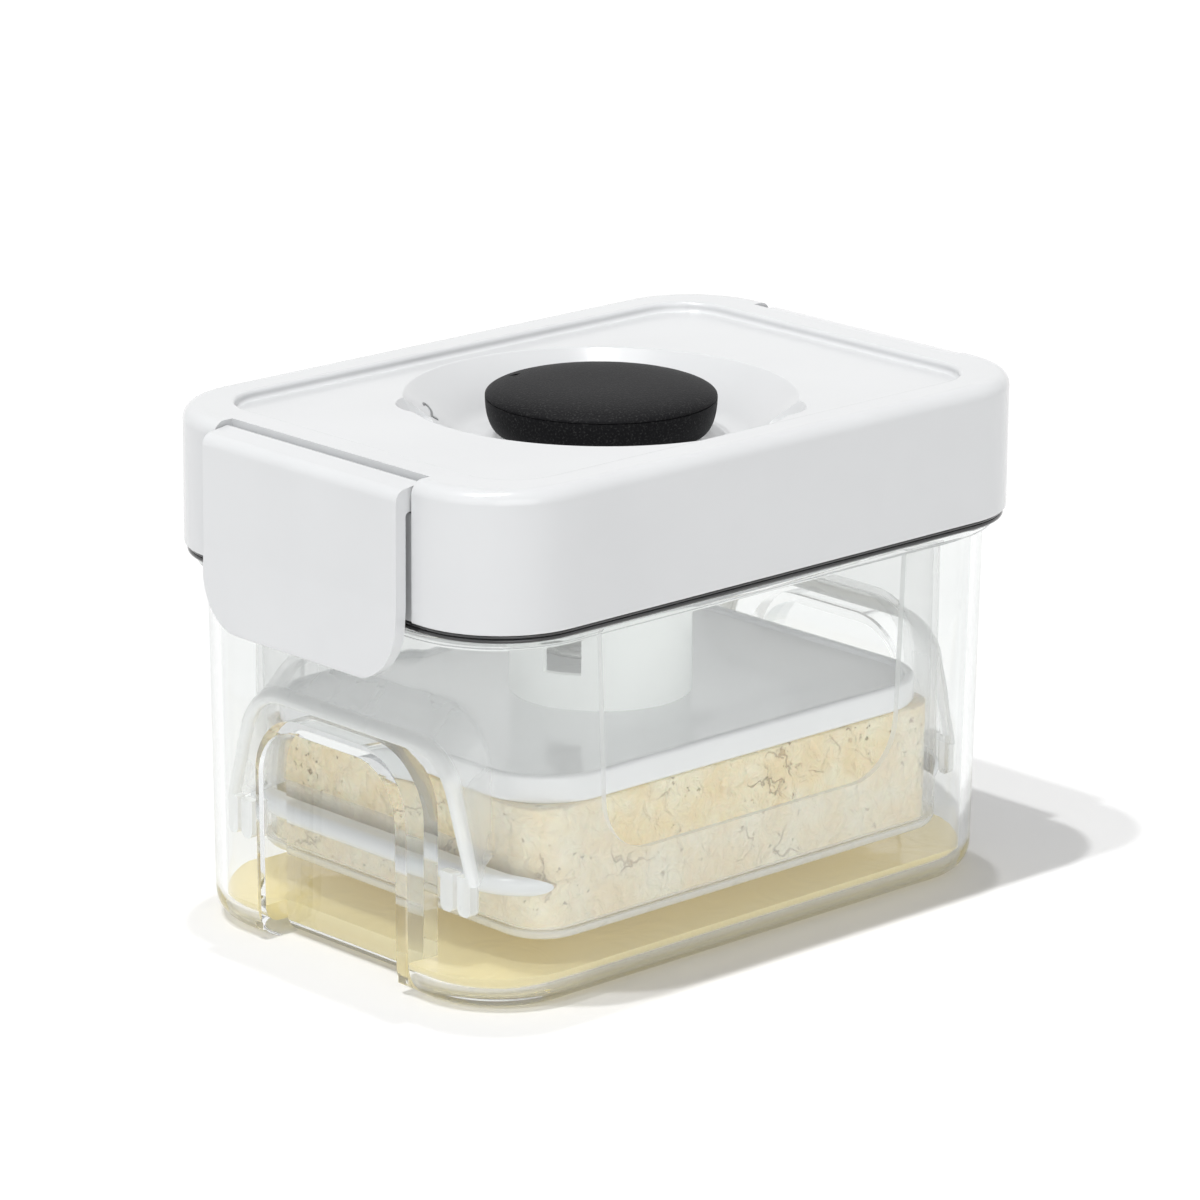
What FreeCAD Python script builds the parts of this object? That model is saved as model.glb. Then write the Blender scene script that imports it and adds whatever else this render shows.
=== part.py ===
import FreeCAD, Part
import math
import os
import re

import Sketcher

V = FreeCAD.Vector

# ---------------------------------------------------------------- driving dimensions (mm, degrees)
SIZES = {
    # shared: faces seated on each other, running shafts, overlap of joined features, reach of cuts
    "seat_gap": 0.02, "running_fit": 0.05, "sink": 0.5, "beyond": 5.0,
    # container
    "tub_length": 157.0, "tub_width": 102.0, "tub_corner": 21.5, "tub_height": 82.0,
    "tub_draft": 0.83, "tub_wall": 2.4, "tub_floor": 3.0, "tub_foot_round": 6.0,
    "tub_inner_round": 4.0, "flange_thick": 1.7, "flange_round": 0.5, "rim_inset": 0.7,
    "grip_end_gap": 7.5, "grip_top": 49.6, "grip_corner": 12.0, "grip_depth": 7.2,
    "grip_foot_round": 5.0,
    # basket
    "basket_end_gap": 13.8, "basket_side_gap": 0.9, "basket_corner": 10.4, "sump_depth": 9.9,
    "basket_sunk": 3.0, "basket_wall": 1.4, "basket_floor": 1.8, "basket_foot_round": 3.0,
    "window_half": 43.2, "window_flare": 2.4, "window_rise": 15.9, "window_corner": 13.0,
    "arch_ease": 8.6, "arch_rise": 17.6, "arch_corner": 14.0,
    "hood_rise": 8.5, "hood_lap": 4.3, "hood_wall": 1.6, "hood_seat_gap": 0.3, "hood_ease": 4.0,
    "hood_bend": 11.0, "hood_frame": 0.3, "hood_flare": 13.1, "hood_drop": 25.0,
    "tab_width": 9.0, "tab_drop": 7.0, "tab_thick": 2.6,
    "rib_clear": 1.6, "rib_taper": 0.4, "rib_rise": 10.1, "rib_height": 4.4,
    "drain_radius": 2.0, "drain_pitch": 12.0, "drain_columns": 9, "drain_rows": 7,
    # lid
    "lid_end_overhang": 4.0, "lid_side_overhang": 5.0, "lid_corner": 22.0, "lid_height": 30.3,
    "lid_wall": 2.2, "lid_edge_round": 3.0, "panel_end_rim": 12.3, "panel_side_rim": 9.2,
    "panel_depth": 2.1, "panel_corner": 12.0, "panel_round": 0.9,
    "well_land": 3.8, "well_floor_radius": 30.5, "well_depth": 9.7, "well_round": 3.0,
    "well_floor_round": 8.0, "scoop_inset": 6.8, "scoop_radius": 9.0, "scoop_depth": 5.0,
    "scoop_draft": 35.0, "scoop_angle_two": 150.0, "scoop_angle_one": 303.0,
    "hinge_bar": 6.5, "hinge_bar_height": 6.0,
    "liner_thick": 2.0, "liner_lift": 2.0, "liner_gap": 0.25, "plug_depth": 5.5, "plug_gap": 0.8,
    "plug_wall": 1.8, "boss_radius": 3.4, "boss_end_inset": 20.5, "boss_side_inset": 18.0,
    "mid_boss_gap": 6.4, "screw_radius": 1.5, "screw_head_radius": 2.8, "screw_head": 1.2,
    "screw_web": 0.7, "screw_blind": 3.0, "screw_relief": 0.5, "head_gap": 0.3,
    "gasket_gap": 0.15, "gasket_lip": 1.75, "gasket_rest": 0.1,
    # clips
    "clip_width": 61.6, "clip_thick": 2.7, "clip_reach": 9.8, "clip_bend_rise": 4.0,
    "clip_flare": 0.9, "clip_corner": 13.0, "clip_crease": 3.0, "clip_proud": 3.7,
    "clip_side_gap": 0.6, "clip_seat_depth": 1.0, "strip_fall": 1.3, "barrel_radius": 3.0,
    "barrel_gap": 0.6, "barrel_drop": 3.7, "barrel_inset": 1.5, "pin_radius": 1.2,
    "pin_bite": 3.0, "pin_end_gap": 0.1, "hook_clear": 0.3, "hook_drop": 0.8, "hook_height": 2.4,
    "hook_lead": 0.8, "hook_width": 48.0,
    # knob
    "knob_gap": 3.6, "knob_foot_radius": 22.6, "knob_belt_radius": 25.2, "knob_belt_rise": 6.1,
    "knob_top_radius": 22.0, "knob_shoulder_rise": 8.9, "knob_crown_rise": 9.3,
    "knob_flank_radius": 24.6, "knob_flank_rise": 1.7, "knob_lip": 1.5, "knob_lip_gap": 0.3,
    "knob_round": 1.4, "knob_skin": 2.0, "knob_screw_reach": 4.0,
    # lock sleeve
    "sleeve_radius": 20.9, "sleeve_wall": 1.05, "sleeve_flange": 2.0, "sleeve_run": 0.3,
    "sleeve_end": 2.2, "sleeve_screw_circle": 13.0, "lug_height": 3.0, "lug_span": 11.0,
    "lug_drop": 0.6, "lug_depth": 0.9, "lug_clear": 0.3, "lock_turn": 30.0,
    "knob_travel": 22.0, "stage_travel": 11.0,
    "collar_thick": 3.0, "seal_height": 1.4, "seal_gap": 0.15, "seal_wipe": 0.15,
    # spring guide and pivot
    "guide_radius": 17.4, "guide_wall": 1.8, "guide_gap": 1.7, "guide_cap": 2.2,
    "guide_length": 33.4, "key_height": 3.0, "key_span": 19.0, "key_clear": 0.3, "key_inset": 0.2,
    "key_angle": 202.5, "pivot_radius": 4.8, "pivot_gap": 0.3, "pivot_play": 0.1,
    "pivot_screw_radius": 2.0, "pivot_head_radius": 4.2, "pivot_head": 2.2,
    "washer_thick": 0.8, "washer_radius": 6.5,
    # plunger
    "tube_radius": 19.5, "tube_fit": 0.35, "tube_head_gap": 2.2, "tube_foot": 7.8,
    "plate_travel": 14.0, "plate_end_gap": 0.6, "plate_side_gap": 0.4, "plate_corner": 16.0,
    "plate_thick": 6.2, "plate_rim": 2.4, "plate_rim_height": 1.0, "plate_round": 1.0,
    "stub_height": 6.5, "stub_wall": 2.0, "stub_fit": 0.1, "bead_height": 1.2,
    "bead_reach": 0.3, "bead_rise": 3.5, "bead_gap": 0.1,
    "spring_radius": 12.2, "spring_wire": 0.9, "spring_turns": 8.0,
}

# ---------------------------------------------------------------- heights and radii worked out
FORMULAS = {
    # container, from its foot up
    "tub_half": "tub_length / 2",
    "flange_base": "tub_height - flange_thick",
    "mouth_length": "tub_length + 2 * tub_height * tan(tub_draft) - 2 * tub_wall",
    "mouth_width": "tub_width + 2 * tub_height * tan(tub_draft) - 2 * tub_wall",
    "grip_half": "tub_width / 2 - tub_corner - grip_end_gap",
    "grip_face": "tub_half - grip_depth",
    "boss_face": "grip_face - tub_wall",
    "boss_half": "grip_half + tub_wall",
    "boss_top": "grip_top + tub_wall",
    # basket, hung on the bosses
    "basket_length": "tub_length - 2 * tub_wall - 2 * basket_end_gap",
    "basket_width": "tub_width - 2 * tub_wall - 2 * basket_side_gap",
    "basket_half": "basket_length / 2",
    "basket_base": "tub_floor + sump_depth",
    "basket_top": "tub_height - basket_sunk",
    "window_sill": "basket_base + window_rise",
    "arch_half": "boss_half + arch_ease",
    "arch_sill": "basket_base + arch_rise",
    "arch_top": "boss_top + hood_rise",
    "hood_tip": "boss_face + hood_lap",
    "hood_shoulder": "boss_half + hood_ease",
    "hood_foot_half": "boss_half + hood_flare",
    "hood_foot": "boss_top - hood_drop",
    "rib_half": "boss_face - rib_clear",
    # lid, stacked on the flange
    "lid_length": "tub_length + 2 * lid_end_overhang",
    "lid_width": "tub_width + 2 * lid_side_overhang",
    "gasket_base": "tub_height + gasket_gap",
    "skirt_base": "gasket_base + gasket_lip + gasket_rest",
    "lid_top": "skirt_base + lid_height",
    "panel_top": "lid_top - panel_depth",
    "panel_under": "panel_top - lid_wall",
    "well_base": "panel_top - well_depth",
    "well_radius": "lid_width / 2 - panel_side_rim - well_land",
    "scoop_offset": "well_radius - scoop_inset",
    "liner_base": "skirt_base + liner_lift",
    "liner_top": "liner_base + liner_thick",
    "liner_inset": "lid_wall + liner_gap",
    "plug_length": "mouth_length - 2 * plug_gap",
    "plug_width": "mouth_width - 2 * plug_gap",
    "plug_corner": "tub_corner - tub_wall - plug_gap",
    "boss_x": "lid_length / 2 - boss_end_inset",
    "boss_y": "lid_width / 2 - boss_side_inset",
    "mid_boss_x": "well_radius + lid_wall + boss_radius + mid_boss_gap",
    "screw_top": "panel_under - screw_blind - screw_relief",
    "screw_seat": "liner_top - screw_web",
    # clips, hung on their pins
    "hinge_x": "lid_length / 2 - barrel_inset",
    "hinge_z": "lid_top - barrel_drop",
    "notch_face": "hinge_x - barrel_radius - barrel_gap",
    "notch_floor": "hinge_z - barrel_radius - barrel_gap",
    "notch_width": "clip_width + 2 * clip_side_gap",
    "clip_outer": "lid_length / 2 + clip_proud",
    "clip_inner": "clip_outer - clip_thick",
    "clip_base": "flange_base - clip_reach",
    "clip_bend": "skirt_base + clip_bend_rise",
    "clip_crest": "hinge_z + barrel_radius",
    # scoops in the well's rim
    "scoop_foot": "scoop_radius - scoop_depth * tan(scoop_draft)",
    "cup_foot": "scoop_foot + lid_wall * (1 / cos(scoop_draft) - tan(scoop_draft))",
    # guide sleeve and lugs of the liner
    "guide_bore": "sleeve_radius + sleeve_run",
    "guide_rim": "guide_bore + collar_thick",
    "seal_base": "well_base - lid_wall - seal_gap - seal_height",
    "collar_top": "seal_base - seal_gap",
    "lug_top": "collar_top - lug_drop",
    "lug_base": "lug_top - lug_height",
    # knob and lock sleeve
    "knob_foot": "well_base + knob_gap",
    "knob_flank": "knob_foot + knob_flank_rise",
    "knob_lip_radius": "sleeve_radius + knob_lip_gap",
    "knob_belt": "knob_foot + knob_belt_rise",
    "knob_shoulder": "knob_foot + knob_shoulder_rise",
    "knob_crown": "knob_foot + knob_crown_rise",
    "knob_screw_top": "knob_foot + knob_screw_reach",
    "sleeve_top": "knob_foot - seat_gap",
    "sleeve_base": "lug_base - knob_travel - lug_clear - sleeve_end",
    "sleeve_under": "sleeve_top - sleeve_flange",
    # spring guide and pivot
    "guide_top": "sleeve_under - guide_gap",
    "cap_under": "guide_top - guide_cap",
    "guide_base": "guide_top - guide_length",
    "key_top": "guide_base + key_height",
    "washer_base": "cap_under - seat_gap - washer_thick",
    "pivot_bore": "pivot_screw_radius + running_fit",
    # plunger, hung on the guide's keys
    "tube_bore": "guide_radius + tube_fit",
    "slot_base": "guide_base - plate_travel - key_clear",
    "plate_floor": "slot_base - tube_foot",
    "plate_base": "plate_floor + plate_rim_height - plate_thick",
    "tube_top": "cap_under - plate_travel - tube_head_gap",
    "plate_length": "basket_length - 2 * basket_wall - 2 * plate_end_gap",
    "plate_width": "basket_width - 2 * basket_wall - 2 * plate_side_gap",
    "stub_radius": "tube_bore - stub_fit",
    "bead_base": "plate_floor + bead_rise",
}

doc = FreeCAD.newDocument("tofu_press")
dims = doc.addObject("Spreadsheet::Sheet", "Dims")


def expand(expression):
    """Replace every worked-out name by its formula until only driving names are left."""
    while True:
        wider = re.sub(
            r"[a-z_]+",
            lambda word: f"({FORMULAS[word[0]]})" if word[0] in FORMULAS else word[0],
            expression,
        )
        if wider == expression:
            return expression
        expression = wider


def size(expression):
    """The value of an expression in the sheet's names."""
    return float(dims.evalExpression(expand(str(expression))))


def bound(expression):
    """The same expression as another object of the document has to write it."""
    return re.sub(
        r"[a-z_]+",
        lambda word: f"Dims.{word[0]}" if word[0] in SIZES else word[0],
        expand(str(expression)),
    )


def bind(thing, prop, expression):
    """Bind a property to the sheet."""
    thing.setExpression(prop, bound(expression))


def fill_sheet():
    """Write the driving dimensions into the sheet, one alias each."""
    for row, (alias, value) in enumerate(SIZES.items(), start=1):
        dims.set(f"A{row}", alias)
        dims.set(f"B{row}", str(value))
        dims.setAlias(f"B{row}", alias)
    doc.recompute()


# ---------------------------------------------------------------- sketch and feature helpers
def new_body(label):
    """An empty body whose label names its file."""
    made = doc.addObject("PartDesign::Body", label)
    made.Label = label
    return made


def origin_part(body, role):
    """One plane or axis of the body's own origin."""
    return next(item for item in body.Origin.OriginFeatures if item.Role == role)


def new_sketch(body, plane="XY_Plane", offset="0", turn=None):
    """A sketch on one of the body's origin planes, moved along the plane's normal."""
    made = body.newObject("Sketcher::SketchObject", "Sketch")
    made.AttachmentSupport = [(origin_part(body, plane), "")]
    made.MapMode = "FlatFace"
    if turn is not None:
        made.AttachmentOffset = FreeCAD.Placement(V(), FreeCAD.Rotation(V(0, 1, 0), size(turn)))
        bind(made, "AttachmentOffset.Rotation.Angle", turn)
    bind(made, "AttachmentOffset.Base.z", offset)
    return made


def constrain(sketch, expression, *arguments):
    """Add a dimension whose value follows the sheet."""
    index = sketch.addConstraint(Sketcher.Constraint(*arguments, size(expression)))
    bind(sketch, f"Constraints[{index}]", expression)


def circle(sketch, radius, x="0", y="0"):
    index = sketch.addGeometry(Part.Circle(V(size(x), size(y), 0), V(0, 0, 1), size(radius)))
    constrain(sketch, radius, "Radius", index)
    place_point(sketch, index, 3, x, y)
    return index


def place_point(sketch, index, point, x, y):
    """Dimension one point of a sketch element from the sketch's origin."""
    for kind, value, onto in (("DistanceX", x, -2), ("DistanceY", y, -1)):
        if abs(size(value)) < 1e-9:
            sketch.addConstraint(Sketcher.Constraint("PointOnObject", index, point, onto))
        else:
            constrain(sketch, value, kind, -1, 1, index, point)


def outline(sketch, points):
    """A closed outline of straight lines through points given as pairs of expressions."""
    spots = [V(size(x), size(y), 0) for x, y in points]
    lines = [
        sketch.addGeometry(Part.LineSegment(start, end))
        for start, end in zip(spots, spots[1:] + spots[:1])
    ]
    for here, following in zip(lines, lines[1:] + lines[:1]):
        sketch.addConstraint(Sketcher.Constraint("Coincident", here, 2, following, 1))
    for line, (x, y) in zip(lines, points):
        place_point(sketch, line, 1, x, y)
    return lines


def rounded_rectangle(sketch, length, width, radius):
    """A rectangle centred on the origin with round corners."""
    half_l, half_w, r = size(length) / 2, size(width) / 2, size(radius)
    corners = [(1, 1, 0), (-1, 1, 90), (-1, -1, 180), (1, -1, 270)]
    arcs = []
    for sx, sy, start in corners:
        centre = V(sx * (half_l - r), sy * (half_w - r), 0)
        whole = Part.Circle(centre, V(0, 0, 1), r)
        arcs.append(sketch.addGeometry(
            Part.ArcOfCircle(whole, math.radians(start), math.radians(start + 90))
        ))
    for index, arc in enumerate(arcs):
        following = arcs[(index + 1) % 4]
        start, end = sketch.getPoint(arc, 2), sketch.getPoint(following, 1)
        line = sketch.addGeometry(Part.LineSegment(start, end))
        sketch.addConstraint(Sketcher.Constraint("Tangent", arc, 2, line, 1))
        sketch.addConstraint(Sketcher.Constraint("Tangent", line, 2, following, 1))
        sketch.addConstraint(Sketcher.Constraint("Horizontal" if index % 2 == 0 else "Vertical", line))
        if index:
            sketch.addConstraint(Sketcher.Constraint("Equal", arcs[0], arc))
    constrain(sketch, radius, "Radius", arcs[0])
    place_point(sketch, arcs[0], 3, f"({length}) / 2 - ({radius})", f"({width}) / 2 - ({radius})")
    place_point(sketch, arcs[2], 3, f"({radius}) - ({length}) / 2", f"({radius}) - ({width}) / 2")


def feature(body, kind, sketch):
    made = body.newObject(f"PartDesign::{kind}", kind)
    made.Profile = sketch
    return made


def pad(body, sketch, length, draft=None, midplane=False, reverse=False):
    made = feature(body, "Pad", sketch)
    bind(made, "Length", length)
    if draft is not None:
        bind(made, "TaperAngle", draft)
    made.Midplane = midplane
    made.Reversed = reverse
    return made


def pocket(body, sketch, length, draft=None, midplane=False, reverse=False):
    """A pocket, checked to take material away."""
    doc.recompute()
    before = body.Tip.Shape.Volume
    made = feature(body, "Pocket", sketch)
    bind(made, "Length", length)
    if draft is not None:
        bind(made, "TaperAngle", draft)
    made.Midplane = midplane
    made.Reversed = reverse
    doc.recompute()
    if made.Shape.Volume > before - 1e-6:
        raise ValueError(f"{body.Label}: {made.Name} cuts nothing")
    return made


def revolve(body, sketch, angle="360", cut=False, midplane=False, reverse=False):
    """Turn a sketch about its own vertical axis, to add or to cut."""
    doc.recompute()
    before = body.Tip.Shape.Volume if body.Tip else 0.0
    made = feature(body, "Groove" if cut else "Revolution", sketch)
    made.ReferenceAxis = (sketch, ["V_Axis"])
    bind(made, "Angle", angle)
    made.Midplane = midplane
    made.Reversed = reverse
    doc.recompute()
    if (made.Shape.Volume < before) != cut:
        raise ValueError(f"{body.Label}: {made.Name} changes the volume the wrong way")
    return made


def ring(body, inner, outer, base, top):
    """A plain ring about the Z axis."""
    sketch = new_sketch(body, "XZ_Plane")
    outline(sketch, [(inner, base), (outer, base), (outer, top), (inner, top)])
    return revolve(body, sketch)


def mirrored(body, features, plane="YZ_Plane"):
    made = body.newObject("PartDesign::Mirrored", "Mirrored")
    made.Originals = features
    made.MirrorPlane = (origin_part(body, plane), [""])
    body.Tip = made
    return made


def polar(body, features, count):
    made = body.newObject("PartDesign::PolarPattern", "PolarPattern")
    made.Originals = features
    made.Axis = (origin_part(body, "Z_Axis"), [""])
    made.Angle = 360
    made.Occurrences = count
    body.Tip = made
    return made


def soften(body, radius, wanted, kind="Fillet"):
    """Round the edges of the body's tip that a test picks by their bounding box."""
    doc.recompute()
    base = body.Tip
    names = [f"Edge{i}" for i, edge in enumerate(base.Shape.Edges, start=1) if wanted(edge.BoundBox)]
    if not names:
        raise ValueError(f"{body.Label}: no edge to round")
    made = body.newObject(f"PartDesign::{kind}", kind)
    made.Base = (base, names)
    bind(made, "Radius" if kind == "Fillet" else "Size", radius)
    doc.recompute()
    return made


def level(box, z, slack=0.01):
    """True where an edge lies flat at one height."""
    return abs(box.ZMin - z) < slack and abs(box.ZMax - z) < slack


# ---------------------------------------------------------------- container
def arch(sketch, half, top, base, corner):
    """An arch with round upper corners, drawn in the plane's own axes."""
    x, z, r, low = size(half), size(top), size(corner), size(base)
    right = Part.ArcOfCircle(Part.Circle(V(x - r, z - r, 0), V(0, 0, 1), r), 0, math.pi / 2)
    left = Part.ArcOfCircle(Part.Circle(V(r - x, z - r, 0), V(0, 0, 1), r), math.pi / 2, math.pi)
    a, b = sketch.addGeometry(right), sketch.addGeometry(left)
    lines = [
        sketch.addGeometry(Part.LineSegment(V(x - r, z, 0), V(r - x, z, 0))),
        sketch.addGeometry(Part.LineSegment(V(-x, z - r, 0), V(-x, low, 0))),
        sketch.addGeometry(Part.LineSegment(V(-x, low, 0), V(x, low, 0))),
        sketch.addGeometry(Part.LineSegment(V(x, low, 0), V(x, z - r, 0))),
    ]
    add = sketch.addConstraint
    add(Sketcher.Constraint("Tangent", a, 2, lines[0], 1))
    add(Sketcher.Constraint("Tangent", lines[0], 2, b, 1))
    add(Sketcher.Constraint("Tangent", b, 2, lines[1], 1))
    add(Sketcher.Constraint("Coincident", lines[1], 2, lines[2], 1))
    add(Sketcher.Constraint("Coincident", lines[2], 2, lines[3], 1))
    add(Sketcher.Constraint("Tangent", lines[3], 2, a, 1))
    for line, way in ((lines[0], "Horizontal"), (lines[1], "Vertical"), (lines[3], "Vertical")):
        add(Sketcher.Constraint(way, line))
    add(Sketcher.Constraint("Equal", a, b))
    constrain(sketch, corner, "Radius", a)
    place_point(sketch, lines[3], 1, half, base)
    place_point(sketch, lines[1], 2, f"0 - ({half})", base)
    constrain(sketch, f"({top}) - ({corner})", "DistanceY", -1, 1, a, 3)


def make_container():
    """Clear tub: drafted walls, flange, and a finger recess open at the foot of each end."""
    body = new_body("container_tub")
    base = new_sketch(body)
    rounded_rectangle(base, "tub_length", "tub_width", "tub_corner")
    pad(body, base, "flange_base", draft="tub_draft")
    soften(body, "tub_foot_round", lambda box: level(box, 0))
    flange = new_sketch(body, offset="flange_base")
    rounded_rectangle(
        flange, "lid_length - 2 * rim_inset", "lid_width - 2 * rim_inset", "lid_corner - rim_inset"
    )
    pad(body, flange, "flange_thick")
    cavity = new_sketch(body, offset="tub_floor")
    shrink = "2 * tub_wall - 2 * tub_floor * tan(tub_draft)"
    rounded_rectangle(
        cavity, f"tub_length - ({shrink})", f"tub_width - ({shrink})", "tub_corner - tub_wall"
    )
    pocket(body, cavity, "tub_height", draft="tub_draft", reverse=True)
    boss = new_sketch(body, "YZ_Plane", "boss_face")
    arch(boss, "boss_half", "boss_top", "tub_floor - sink", "grip_corner + tub_wall")
    blister = pad(body, boss, "grip_depth + tub_wall / 2")
    mirrored(body, [blister])
    soften(body, "tub_inner_round", lambda box: level(box, size("tub_floor")))
    recess = new_sketch(body, "YZ_Plane", "grip_face")
    arch(recess, "grip_half", "grip_top", "0 - beyond", "grip_corner")
    cut = pocket(body, recess, "tub_length", reverse=True)
    mirrored(body, [cut])
    soften(body, "grip_foot_round", lambda box: (
        level(box, 0) and box.XLength < 0.01 and box.DiagonalLength > size("grip_half")
    ))
    soften(body, "flange_round", lambda box: (
        level(box, size("tub_height")) or level(box, size("flange_base"))
    ))
    return body


# ---------------------------------------------------------------- basket
def hood_edge(half, shoulder, top, foot, radius):
    """Right half of a hood's edge, from its foot over the round shoulder, as pairs of expressions."""
    bend = [
        (f"({shoulder}) - ({radius}) * (1 - cos({turn}))", f"({top}) - ({radius}) * (1 - sin({turn}))")
        for turn in (0, 22.5, 45, 67.5, 90)
    ]
    return [(half, foot)] + bend


def hood_section(body, offset, half, shoulder, top, foot):
    """One end of a hood, seen along X: a bent band whose legs may flare."""
    sketch = new_sketch(body, "YZ_Plane", offset)
    inner = hood_edge(half, shoulder, top, foot, "hood_bend")
    outer = hood_edge(
        f"({half}) + hood_wall", f"({shoulder}) + hood_wall", f"({top}) + hood_wall", foot,
        "hood_bend + hood_wall",
    )
    left = [(f"0 - ({y})", z) for y, z in reversed(inner)]
    back = [(f"0 - ({y})", z) for y, z in outer]
    outline(sketch, inner + left + back + outer[::-1])
    return sketch


def cut_windows(body):
    """U-shaped openings in the long sides and arches in the ends."""
    windows = new_sketch(body, "XZ_Plane")
    top = "basket_top + beyond"
    flare = "window_half + window_flare"
    outline(windows, [
        ("0 - window_half", "window_sill"), ("window_half", "window_sill"), (flare, top),
        (f"0 - ({flare})", top),
    ])
    pocket(body, windows, "basket_width * 2", midplane=True)
    soften(body, "window_corner", lambda box: level(box, size("window_sill")) and box.XLength < 0.01)
    ends = new_sketch(body, "YZ_Plane")
    arch(ends, "arch_half", "arch_top", "arch_sill", "arch_corner")
    pocket(body, ends, "basket_length * 2", midplane=True)


def add_hoods(body):
    """Sloping hood over each end arch, with a flat tab at each of its feet."""
    edge = "arch_half + hood_frame"
    near = hood_section(
        body, "basket_half - basket_wall / 2", edge, edge, "arch_top + hood_frame",
        "arch_sill + hood_frame",
    )
    far = hood_section(
        body, "hood_tip", "hood_foot_half", "hood_shoulder", "boss_top + hood_seat_gap", "hood_foot"
    )
    hood = body.newObject("PartDesign::AdditiveLoft", "Hood")
    hood.Profile = near
    hood.Sections = [far]
    hood.Ruled = True
    tab = new_sketch(body, "YZ_Plane", "hood_tip - tab_thick")
    outer = "hood_foot_half + hood_wall"
    inner = f"{outer} - tab_width"
    low, high = "hood_foot - tab_drop", "hood_foot + hood_wall"
    outline(tab, [(inner, low), (outer, low), (outer, high), (inner, high)])
    foot_tab = pad(body, tab, "tab_thick")
    both = body.newObject("PartDesign::MultiTransform", "BothEnds")
    across = doc.addObject("PartDesign::Mirrored", "AcrossLength")
    across.MirrorPlane = (origin_part(body, "YZ_Plane"), [""])
    beside = doc.addObject("PartDesign::Mirrored", "AcrossWidth")
    beside.MirrorPlane = (origin_part(body, "XZ_Plane"), [""])
    both.Originals = [hood, foot_tab]
    both.Transformations = [across, beside]
    body.Tip = both


def drill_drains(body):
    """Rows of drain holes through the floor."""
    drains = new_sketch(body, offset="basket_base")
    for column in range(int(size("drain_columns"))):
        x = f"({column} - (drain_columns - 1) / 2) * drain_pitch"
        circle(drains, "drain_radius", x, "0 - (drain_rows - 1) / 2 * drain_pitch")
    row = pocket(body, drains, "basket_floor + beyond", reverse=True)
    rows = body.newObject("PartDesign::LinearPattern", "DrainRows")
    rows.Originals = [row]
    rows.Direction = (origin_part(body, "Y_Axis"), [""])
    bind(rows, "Length", "(drain_rows - 1) * drain_pitch")
    bind(rows, "Occurrences", "drain_rows")
    body.Tip = rows


def make_basket():
    """Drain basket: windows in all four sides, end hoods that hang on the tub's bosses, a ledge."""
    body = new_body("basket")
    base = new_sketch(body, offset="basket_base")
    rounded_rectangle(base, "basket_length", "basket_width", "basket_corner")
    pad(body, base, "basket_top - basket_base")
    soften(body, "basket_foot_round", lambda box: level(box, size("basket_base")))
    ledge = new_sketch(body, offset="basket_base + rib_rise")
    rounded_rectangle(
        ledge, "2 * rib_half", "basket_width - 2 * rib_taper",
        "basket_corner + rib_half - basket_half - 2 * rib_taper",
    )
    pad(body, ledge, "rib_height")
    cavity = new_sketch(body, offset="basket_base + basket_floor")
    rounded_rectangle(
        cavity, "basket_length - 2 * basket_wall", "basket_width - 2 * basket_wall",
        "basket_corner - basket_wall",
    )
    pocket(body, cavity, "basket_top", reverse=True)
    cut_windows(body)
    add_hoods(body)
    drill_drains(body)
    return body


# ---------------------------------------------------------------- lid
SCREW_SPOTS = [
    ("boss_x", "boss_y"), ("0 - boss_x", "boss_y"), ("0 - boss_x", "0 - boss_y"),
    ("boss_x", "0 - boss_y"), ("mid_boss_x", "0"), ("0 - mid_boss_x", "0"),
]


def scoop_circles(body, radius, offset):
    """A sketch with one circle for each scoop."""
    sketch = new_sketch(body, offset=offset)
    for turn in ("scoop_angle_two", "scoop_angle_one"):
        circle(sketch, radius, f"scoop_offset * cos({turn})", f"scoop_offset * sin({turn})")
    return sketch


def sink_panel_and_well(body):
    """Recess the top, turn the bowl that the knob stands in and add the scoops' cups under it."""
    panel = new_sketch(body, offset="panel_top")
    rounded_rectangle(
        panel, "lid_length - 2 * panel_end_rim", "lid_width - 2 * panel_side_rim", "panel_corner"
    )
    pocket(body, panel, "panel_depth + beyond", reverse=True)
    inside = new_sketch(body, offset="skirt_base")
    rounded_rectangle(
        inside, "lid_length - 2 * lid_wall", "lid_width - 2 * lid_wall", "lid_corner - lid_wall"
    )
    pocket(body, inside, "panel_under - hinge_bar_height - skirt_base", reverse=True)
    upper = new_sketch(body, offset="skirt_base")
    rounded_rectangle(
        upper, "lid_length - 2 * hinge_bar", "lid_width - 2 * lid_wall", "lid_corner - hinge_bar"
    )
    pocket(body, upper, "panel_under - skirt_base", reverse=True)
    bowl = new_sketch(body, "XZ_Plane")
    under, over = "well_base - lid_wall", "panel_top - sink"
    outline(bowl, [
        ("guide_bore", under), ("well_floor_radius", under), ("well_radius + lid_wall", "panel_under"),
        ("well_radius + lid_wall", over), ("guide_bore", over),
    ])
    revolve(body, bowl)
    cups = scoop_circles(body, "cup_foot", "panel_top - scoop_depth - lid_wall")
    pad(body, cups, "scoop_depth", draft="scoop_draft")
    well = new_sketch(body, "XZ_Plane")
    outline(well, [
        ("0", "well_base"), ("well_floor_radius", "well_base"), ("well_radius", "panel_top"),
        ("well_radius", "lid_top"), ("0", "lid_top"),
    ])
    revolve(body, well, cut=True)


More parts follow.
